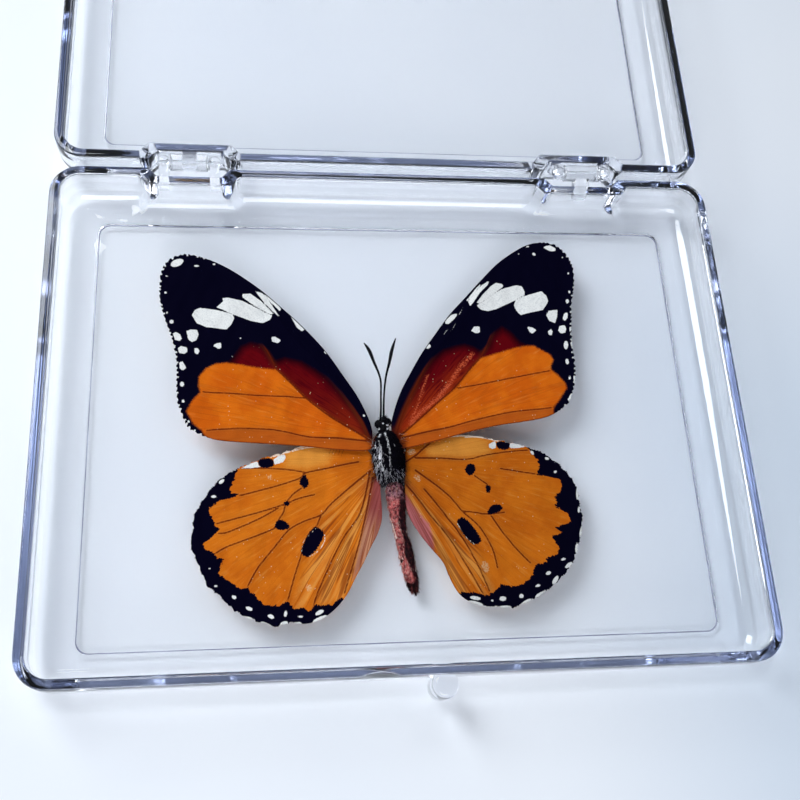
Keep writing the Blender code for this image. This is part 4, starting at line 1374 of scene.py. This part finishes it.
def wing_material(name, hind):
    """Scales coloured by the distances: black, maroon, orange and white, with veins, fine grain and painted
    shade on the right wings.
    """
    n = WingNodes(name, hind)
    colour, pale = ground(n)
    colour = hindwing_colour(n, colour) if hind else forewing_colour(n, colour)
    colour = with_spots(n, with_veins(n, colour, pale))
    # Fine grain, times each wing's painted light, which paints the right wings darker as shade away from the
    # lamp
    shade = n.add("ShaderNodeCombineColor")
    for socket in shade.inputs[:3]:
        n.feed(socket, n.times(n.math("MULTIPLY_ADD", n.grain, 0.4, 0.8), n.attribute("tone")))
    colour = n.mix(1.0, colour, shade.outputs[0], "MULTIPLY")
    colour = n.lay(colour, n.attribute("under"), n.lay(colour, 0.45, UNDERSIDE))
    height = n.math("ADD", n.times(n.grain, 0.5), n.times(n.streak, 0.8))
    height = n.math("SUBTRACT", height, n.times(n.crease, 0.4 if hind else 0.2))
    return n.surface(
        Base_Color=colour, Roughness=0.8, Specular_IOR_Level=0.02, Normal=n.bump(height, 0.06, 0.6),
    )


def build_wings():
    looks = {"fore": wing_material("forewing_scales", False), "hind": wing_material("hindwing_scales", True)}
    # After each name, its painted light: the right wings are painted darker, as shade on the side away from
    # the lamp
    wings = (
        Wing("forewing_left", 1.0, FORE_LEFT_OUTLINE, FORE_LEFT_WARM, FORE_LEFT_WHITE, FORE_LEFT_VEINS,
             FORE_LEFT_DOTS, (), (), FORE_LEFT_LOW, bright=FORE_LEFT_BRIGHT),
        Wing("forewing_right", 0.97, FORE_RIGHT_OUTLINE, FORE_RIGHT_WARM, FORE_RIGHT_WHITE, FORE_RIGHT_VEINS,
             FORE_RIGHT_DOTS, FORE_RIGHT_FRINGE, FORE_RIGHT_GLOW, FORE_RIGHT_LOW, bright=FORE_RIGHT_BRIGHT),
        Wing("hindwing_left", 1.0, HIND_LEFT_OUTLINE, HIND_LEFT_WARM, HIND_LEFT_WHITE, HIND_LEFT_VEINS,
             HIND_LEFT_DOTS, HIND_LEFT_FRINGE, HIND_LEFT_GLOW, HIND_LEFT_DULL, black=HIND_LEFT_BLACK,
             pink=HIND_LEFT_PINK, fold=HIND_LEFT_FOLD, worn_and_sheen=HIND_LEFT_WORN_AND_SHEEN),
        Wing("hindwing_right", 0.8, HIND_RIGHT_OUTLINE, HIND_RIGHT_WARM, HIND_RIGHT_WHITE, HIND_RIGHT_VEINS,
             HIND_RIGHT_DOTS, HIND_RIGHT_FRINGE, HIND_RIGHT_GLOW, HIND_RIGHT_DULL, black=HIND_RIGHT_BLACK,
             pink=HIND_RIGHT_PINK, fold=HIND_RIGHT_FOLD, worn_and_sheen=HIND_RIGHT_WORN_AND_SHEEN),
    )
    for seed, wing in enumerate(wings):
        points, faces, attributes = wing_mesh(wing, 10 + seed)
        obj = make_mesh(f"{wing.node}_scales", points, faces, attributes, WING_SHARP_ANGLE)
        dress(obj, looks[wing.node[:4]], "tray", (wing.node,))


# Body


class Loft:
    """A tapering body along a smooth route, in millimetres. Its radii are scaled by shape(place, angle)."""

    def __init__(self, route, radii, rings, sides, shape):
        route = np.array(route, float)
        fine = spline(route, ROUTE_STEPS, closed=False)
        along = np.linspace(0, len(route) - 1, len(fine))
        t = np.linspace(0, len(route) - 1, rings + 1)
        self.centres = np.stack([np.interp(t, along, fine[:, k]) for k in range(3)], axis=1)
        sizes = spline([(radius, 0) for radius in radii], ROUTE_STEPS, closed=False)[:, 0]
        forward = np.gradient(self.centres, axis=0)
        forward /= np.linalg.norm(forward, axis=1)[:, None]
        across = np.cross(forward, (0, 0, 1))
        across /= np.linalg.norm(across, axis=1)[:, None]
        up = np.cross(across, forward)
        angles = np.arange(sides) * math.tau / sides
        vertices, normals = [], []
        for centre, size, a, u, at in zip(self.centres, np.interp(t, along, sizes), across, up, t):
            for angle in angles:
                way = a * math.cos(angle) + u * math.sin(angle)
                vertices.append(centre + way * size * shape(at, angle))
                normals.append(way / np.linalg.norm(way))
        self.vertices = np.array(vertices)
        self.normals = np.array(normals)
        self.forward = np.repeat(forward, sides, axis=0)
        self.at = np.repeat(t, sides)
        self.faces = []
        for r in range(rings):
            for s in range(sides):
                n = (s + 1) % sides
                self.faces.append((r * sides + s, r * sides + n, (r + 1) * sides + n, (r + 1) * sides + s))
        self.faces.append(tuple(reversed(range(sides))))
        self.faces.append(tuple(rings * sides + s for s in range(sides)))

    def rough(self, amount, size, seed):
        """Push the skin in and out by noise lumps of about this size."""
        offset = Vector((seed * 7.3, seed * 3.1, seed * 1.7))
        for i, point in enumerate(self.vertices):
            lump = noise.fractal(Vector(point) / size + offset, 1.0, 2.0, 3)
            self.vertices[i] = point + self.normals[i] * amount * lump


def strand_mesh(name, strands, width):
    """Tapering three-sided hairs. Each strand is its line of points and a shade from 0 to 1."""
    vertices, faces, shades = [], [], []
    for line, shade in strands:
        first = len(vertices)
        steps = len(line)
        for k, point in enumerate(line):
            ahead = line[min(k + 1, steps - 1)] - line[max(k - 1, 0)]
            side = np.cross(ahead, (0.3, 0.2, 1.0))
            side /= np.linalg.norm(side) + 1e-9
            other = np.cross(ahead, side)
            other /= np.linalg.norm(other) + 1e-9
            radius = width * (1 - 0.75 * k / (steps - 1))
            for corner in range(3):
                turn = math.tau * corner / 3
                vertices.append(point + (side * math.cos(turn) + other * math.sin(turn)) * radius)
                shades.append(shade)
        for k in range(steps - 1):
            for corner in range(3):
                a = first + 3 * k + corner
                b = first + 3 * k + (corner + 1) % 3
                faces.append((a, b, b + 3, a + 3))
        faces.append((first + 2, first + 1, first))
        last = first + 3 * (steps - 1)
        faces.append((last, last + 1, last + 2))
    return make_mesh(name, vertices, faces, {"shade": shades})


def above_floor(points):
    """The points of a hair, none of them below the box's floor."""
    return [np.array((p[0], p[1], max(p[2], HAIR_FLOOR))) for p in points]


def fur(loft, shade_at, count, length, lie, lift, lowest, seed):
    """Hairs on a loft's skin, where it faces more upward than lowest. They lie along it and lift off it."""
    random = np.random.RandomState(seed)
    strands = []
    for i in random.randint(0, len(loft.vertices), count):
        base = loft.vertices[i]
        if loft.normals[i][2] <= lowest:
            continue
        way = loft.normals[i] * lift + loft.forward[i] * lie + random.normal(0, 0.28, 3)
        way /= np.linalg.norm(way)
        reach = length * random.uniform(0.5, 1.25)
        bend = loft.forward[i] * 0.35 - np.array((0, 0, 0.25))
        line = above_floor(base + way * reach * s + bend * reach * s * s * 0.5 for s in (0.0, 0.4, 0.75, 1.0))
        strands.append((line, float(np.clip(shade_at(base, random), 0, 1))))
    return strands


def body_material(name, dark, lighter, pale, roughness, specular):
    """Cuticle: dark and a little lighter in patches, with pale marks and fine wrinkles."""
    n = Nodes(name)
    fine = n.noise(5.0, 3, 0.6)
    lumps = n.noise(1.6, 3, 0.6)
    colour = n.mix(n.step(lumps, 0.42, 0.7), dark, lighter)
    mark = n.math("MULTIPLY_ADD", fine, 0.3, n.math("SUBTRACT", n.attribute("mark"), 0.15))
    colour = n.mix(n.step(mark, -0.03, 0.04), colour, pale)
    height = n.math("ADD", n.math("MULTIPLY", fine, 0.5), lumps)
    return n.surface(
        Base_Color=colour, Roughness=roughness, Specular_IOR_Level=specular, Normal=n.bump(height, 0.12, 0.8),
    )


def hair_material(name, *stops):
    """Hairs coloured by their shade, from 0 to 1."""
    n = Nodes(name)
    return n.surface(Base_Color=n.ramp(n.attribute("shade"), stops), Roughness=0.55, Specular_IOR_Level=0.05)


def pixel_marks(points, normals, lines, dots):
    """Signed distance, in millimetres, into marks drawn as photo pixels on a body's upper side."""
    seen = pixels_of(points)
    best = np.full(len(points), NO_MARK)
    for line, half in lines:
        best = np.maximum(best, half - to_edges(seen, np.array(line, float), False) / PIXELS_PER_MM)
    for dot in dots:
        best = np.maximum(best, depth_in(seen, np.array(oval(*dot))) / PIXELS_PER_MM)
    return np.where(normals[:, 2] > -0.1, best, NO_MARK)


def build_thorax():
    def shape(at, angle):
        side = abs(math.cos(angle)) ** 3
        shoulder = 0.06 * side * math.exp(-((at - 3.5) / 1.8) ** 2)
        groove = 0.05 * math.exp(-((angle - math.pi / 2) / 0.16) ** 2)
        plate = 0.05 * math.exp(-((at - 4.9) / 0.12) ** 2) + 0.04 * math.exp(-((at - 1.9) / 0.12) ** 2)
        return 1.0 + shoulder - groove - plate

    loft = Loft(THORAX_ROUTE, THORAX_RADII, rings=90, sides=72, shape=shape)
    loft.rough(amount=0.14, size=0.5, seed=3)
    marks = pixel_marks(loft.vertices, loft.normals, THORAX_LINES, THORAX_DOTS)
    obj = make_mesh("thorax_body", loft.vertices, loft.faces, {"mark": marks})
    look = body_material(
        "thorax_cuticle", linear(3, 2, 8), linear(14, 11, 24), linear(240, 240, 245),
        roughness=0.6, specular=0.04,
    )
    dress(obj, look, "tray", ("thorax",))

    def shade_at(base, random):
        """Dark, with pale hairs in a patch on the left, down the left side and at the rear."""
        u, v = pixels_of(base[None])[0]
        patch = 0.5 * math.exp(-(((u - 379) / 4.5) ** 2 + ((v - 455) / 9) ** 2))
        rear = ease((v - 461) / 9) * (0.34 if u < 392 else 0.14) * (1 - 0.85 * ease((v - 476) / 6))
        side = 0.22 * ease((376 - u) / 4)
        right = ease((u - 391) / 4) * ease((466 - v) / 6)
        chance = max(patch, rear, side) * (1 - 0.95 * right) + 0.004
        return random.uniform(0.66, 1.0) if random.rand() < chance else random.uniform(0.0, 0.3)

    look = hair_material(
        "thorax_hairs", (0.0, linear(2, 2, 6)), (0.4, linear(12, 8, 20)), (0.64, linear(140, 136, 156)),
        (1.0, linear(246, 245, 250)),
    )
    hairs = fur(loft, shade_at, count=5600, length=0.72, lie=0.9, lift=0.42, lowest=-0.6, seed=21)
    dress(strand_mesh("thorax_hair", hairs, width=0.034), look, "tray")


def build_root_hair():
    """Hairs from the thorax over the wing roots, and a few from under the left forewing's rear edge."""
    random = np.random.RandomState(44)
    strands = []
    for base, low, high, back, count in ROOT_HAIRS:
        for side in (-1, 1):
            for _ in range(count):
                y = random.uniform(low, high)
                x = BODY_X + side * random.uniform(1.7, 2.5)
                start = np.array((x, y, base + random.uniform(0.15, 0.6)))
                way = np.array((side, back + random.normal(0, 0.35), 0.0))
                reach = random.uniform(0.4, 1.5)
                line = []
                for s in (0.0, 0.35, 0.7, 1.0):
                    point = start + way * reach * s
                    floor = wing_height(point[0], base) + 0.12
                    point[2] = floor + (start[2] - floor) * (1 - s) + 0.12 * s * random.rand()
                    line.append(point)
                strands.append((line, random.uniform(0, 1)))
    for k, (u, v) in enumerate(LEFT_EDGE_HAIRS):
        start = np.array(sight(u, v, HINDWING_HEIGHT + 0.35))
        end = np.array(sight(u - 1.5 - 0.3 * k, v + 6, HINDWING_HEIGHT + 0.3))
        strands.append(([start, (start + end) / 2, end], 0.0))
    look = hair_material(
        "root_hairs", (0.0, linear(16, 6, 8)), (0.45, linear(74, 26, 16)), (0.8, linear(120, 50, 28)),
        (1.0, linear(196, 150, 128)),
    )
    dress(strand_mesh("root_hair", strands, width=0.03), look, "tray")


def build_head():
    bm = bmesh.new()
    turn = Matrix.Rotation(HEAD_TURN, 4, "Z")
    around, over = LOBE_SIDES
    for centre, half, _ in HEAD_LOBES:
        place = Matrix.Translation(centre) @ turn @ Matrix.Diagonal((*half, 1.0))
        bmesh.ops.create_uvsphere(bm, u_segments=around, v_segments=over, radius=1.0, matrix=place)
    mesh = bpy.data.meshes.new("head")
    bm.to_mesh(mesh)
    bm.free()
    points = np.empty(len(mesh.vertices) * 3)
    mesh.vertices.foreach_get("co", points)
    points = points.reshape(-1, 3)
    normals = np.array([tuple(vertex.normal) for vertex in mesh.vertices])
    faces = [tuple(face.vertices) for face in mesh.polygons]
    bpy.data.meshes.remove(mesh)
    marks = pixel_marks(points, normals, (), HEAD_DOTS)
    obj = make_mesh("head_body", points, faces, {"mark": marks})
    look = body_material(
        "head_cuticle", linear(3, 2, 7), linear(9, 7, 15), linear(236, 236, 242),
        roughness=0.45, specular=0.07,
    )
    dress(obj, look, "tray", ("head",))
    random = np.random.RandomState(5)
    strands = []
    for _ in range(HEAD_HAIRS):
        centre, half, eye = HEAD_LOBES[random.randint(0, len(HEAD_LOBES))]
        way = random.normal(0, 1, 3)
        way /= np.linalg.norm(way)
        if way[2] < -0.5 or (eye and way[1] > -0.2):
            continue
        base = np.array(centre) + way * np.array(half) * 0.97
        tip = way * 0.7 + np.array((0, 0.15, 0.1)) + random.normal(0, 0.2, 3)
        tip *= random.uniform(0.25, 0.55)
        strands.append(([base, base + tip * 0.5, base + tip], float(random.rand() < 0.06) * 0.8))
    look = hair_material(
        "head_hairs", (0.0, linear(4, 3, 8)), (0.5, linear(40, 36, 50)), (1.0, linear(210, 210, 218)),
    )
    dress(strand_mesh("head_hair", strands, width=0.025), look, "tray")


def abdomen_material():
    """Red above and dark on the right, partly its own colour and partly painted shade, grey at its base, dark
    at its tip, with pale lines and black blots.
    """
    n = Nodes("abdomen_cuticle")
    fine = n.noise(4.5, 3, 0.6)
    lumps = n.noise(1.5, 3, 0.65)

    def ragged(key, by, amount, low, high):
        inner = n.math("SUBTRACT", n.attribute(key), amount / 2)
        return n.step(n.math("MULTIPLY_ADD", by, amount, inner), low, high)

    red = n.mix(n.step(lumps, 0.38, 0.6), linear(184, 92, 90), linear(84, 24, 32))
    red = n.mix(n.times(n.step(fine, 0.58, 0.72), 0.75), red, linear(236, 190, 184))
    dark = n.mix(n.step(lumps, 0.4, 0.7), linear(18, 4, 10), linear(54, 14, 24))
    grey = n.mix(n.step(lumps, 0.42, 0.56), linear(142, 100, 110), linear(52, 24, 38))
    # Red inside the lit outline, dark outside: partly its own colour, partly painted shade on the side away
    # from the lamp
    colour = n.mix(ragged("red_and_lit", lumps, 0.5, -0.18, 0.12), dark, red)
    colour = n.mix(n.times(n.attribute("base"), 0.92), colour, grey)
    colour = n.mix(n.times(n.attribute("tip"), n.step(fine, 0.35, 0.6)), colour, linear(30, 22, 22))
    colour = n.mix(ragged("mark", fine, 0.3, -0.06, 0.06), colour, linear(236, 214, 204))
    colour = n.mix(ragged("blot", fine, 0.4, -0.05, 0.05), colour, linear(10, 5, 8))
    height = n.math("ADD", n.times(fine, 0.6), lumps)
    return n.surface(
        Base_Color=colour, Roughness=0.6, Specular_IOR_Level=0.1, Normal=n.bump(height, 0.14, 1.0),
    )


def build_abdomen():
    def shape(at, angle):
        ring = (at * 1.75) % 1.0
        groove = 0.075 * math.exp(-((ring - 0.5) / 0.1) ** 2)
        belly = 0.02 * math.sin(at * 9.0)
        crease = 0.16 * math.exp(-((angle - 0.9) / 0.3) ** 2) * ease(at / 1.5)
        return 1.0 - groove + belly - crease

    loft = Loft(ABDOMEN_ROUTE, ABDOMEN_RADII, rings=170, sides=56, shape=shape)
    loft.rough(amount=0.12, size=0.45, seed=9)
    seen = pixels_of(loft.vertices)
    red_and_lit_shape = np.array(ABDOMEN_RED_AND_LIT, float)
    obj = make_mesh("abdomen_body", loft.vertices, loft.faces, {
        "red_and_lit": depth_in(seen, red_and_lit_shape) / PIXELS_PER_MM,
        "mark": pixel_marks(loft.vertices, loft.normals, ABDOMEN_PALE, ABDOMEN_DOTS),
        "blot": pixel_marks(loft.vertices, loft.normals, (), ABDOMEN_BLOTS),
        "base": np.clip((502 - seen[:, 1]) / 7, 0, 1),
        "tip": np.clip((seen[:, 1] - 581) / 6, 0, 1),
    })
    dress(obj, abdomen_material(), "tray", ("abdomen",))

    def shade_at(base, random):
        u, v = pixels_of(base[None])[0]
        end = ease((v - 576) / 8)
        inner = depth_in(np.array([[u, v]]), red_and_lit_shape)[0]
        # Hairs paler inside the lit outline: partly their own colour, partly painted light and shade
        return (0.72 if inner > -1 else 0.18) * (1 - end) + 0.12 * end + random.normal(0, 0.18)

    hairs = fur(loft, shade_at, count=2600, length=0.42, lie=1.1, lift=0.3, lowest=-0.7, seed=33)
    random = np.random.RandomState(8)
    for (u, v), (end_u, end_v) in CLASPERS:
        start = np.array(sight(u, v, CLASPER_HEIGHTS[0]))
        end = np.array(sight(end_u, end_v, CLASPER_HEIGHTS[1]))
        for _ in range(CLASPER_HAIRS):
            shift = random.normal(0, 0.13, 3)
            line = [start + shift, (start + end) / 2 + shift, end + shift * 0.5]
            hairs.append((line, random.uniform(0.0, 0.1)))
    tail = loft.centres[-14]
    for _ in range(TAIL_HAIRS):
        way = np.array((0.12, -1.0, 0.0)) + random.normal(0, 0.34, 3)
        way /= np.linalg.norm(way)
        start = tail + random.normal(0, 0.3, 3)
        reach = random.uniform(0.6, 1.3)
        line = above_floor(start + way * reach * s for s in (0.0, 0.5, 1.0))
        hairs.append((line, float(random.rand() < 0.4) * 0.55))
    look = hair_material(
        "abdomen_hairs", (0.0, linear(16, 10, 12)), (0.3, linear(70, 26, 30)), (0.65, linear(168, 88, 80)),
        (1.0, linear(232, 196, 184)),
    )
    dress(strand_mesh("abdomen_hair", hairs, width=0.024), look, "tray")


def build_antennae():
    def shape(at, angle):
        return 1.0 - 0.1 * (math.sin(at * 46) > 0.4)

    look = body_material(
        "antenna_cuticle", linear(4, 3, 9), linear(10, 8, 16), linear(4, 3, 9),
        roughness=0.45, specular=0.08,
    )
    for side, line in (("left", ANTENNA_LEFT_PX), ("right", ANTENNA_RIGHT_PX)):
        route = [tuple(sight(u, v, z)) for (u, v), z in zip(line, ANTENNA_HEIGHTS)]
        loft = Loft(route, ANTENNA_RADII, rings=150, sides=16, shape=shape)
        marks = np.full(len(loft.vertices), NO_MARK)
        obj = make_mesh(f"antenna_{side}_body", loft.vertices, loft.faces, {"mark": marks})
        dress(obj, look, "tray", (f"antenna_{side}",))


def build_legs():
    def shape(at, angle):
        joint = min(abs(at - k) for k in (1, 2, 3))
        return 1.0 + 0.28 * math.exp(-(joint / 0.09) ** 2)

    look = body_material(
        "leg_cuticle", linear(12, 10, 18), linear(30, 24, 34), linear(220, 220, 226),
        roughness=0.5, specular=0.35,
    )
    for word, side in (("left", -1), ("right", 1)):
        for pair, route in (("middle", MIDDLE_LEG), ("hind", HIND_LEG)):
            beside = [(BODY_X + side * x, y, z) for x, y, z in route]
            loft = Loft(beside, LEG_RADII, rings=90, sides=18, shape=shape)
            marks = np.where((loft.at % 1.0) < 0.12, 0.2, NO_MARK)
            obj = make_mesh(f"leg_{pair}_{word}_body", loft.vertices, loft.faces, {"mark": marks})
            dress(obj, look, "tray", (f"leg_{pair}_{word}",))


set_camera()
set_floor()
set_light()
build_box()
build_wings()
build_thorax()
build_root_hair()
build_head()
build_abdomen()
build_antennae()
build_legs()
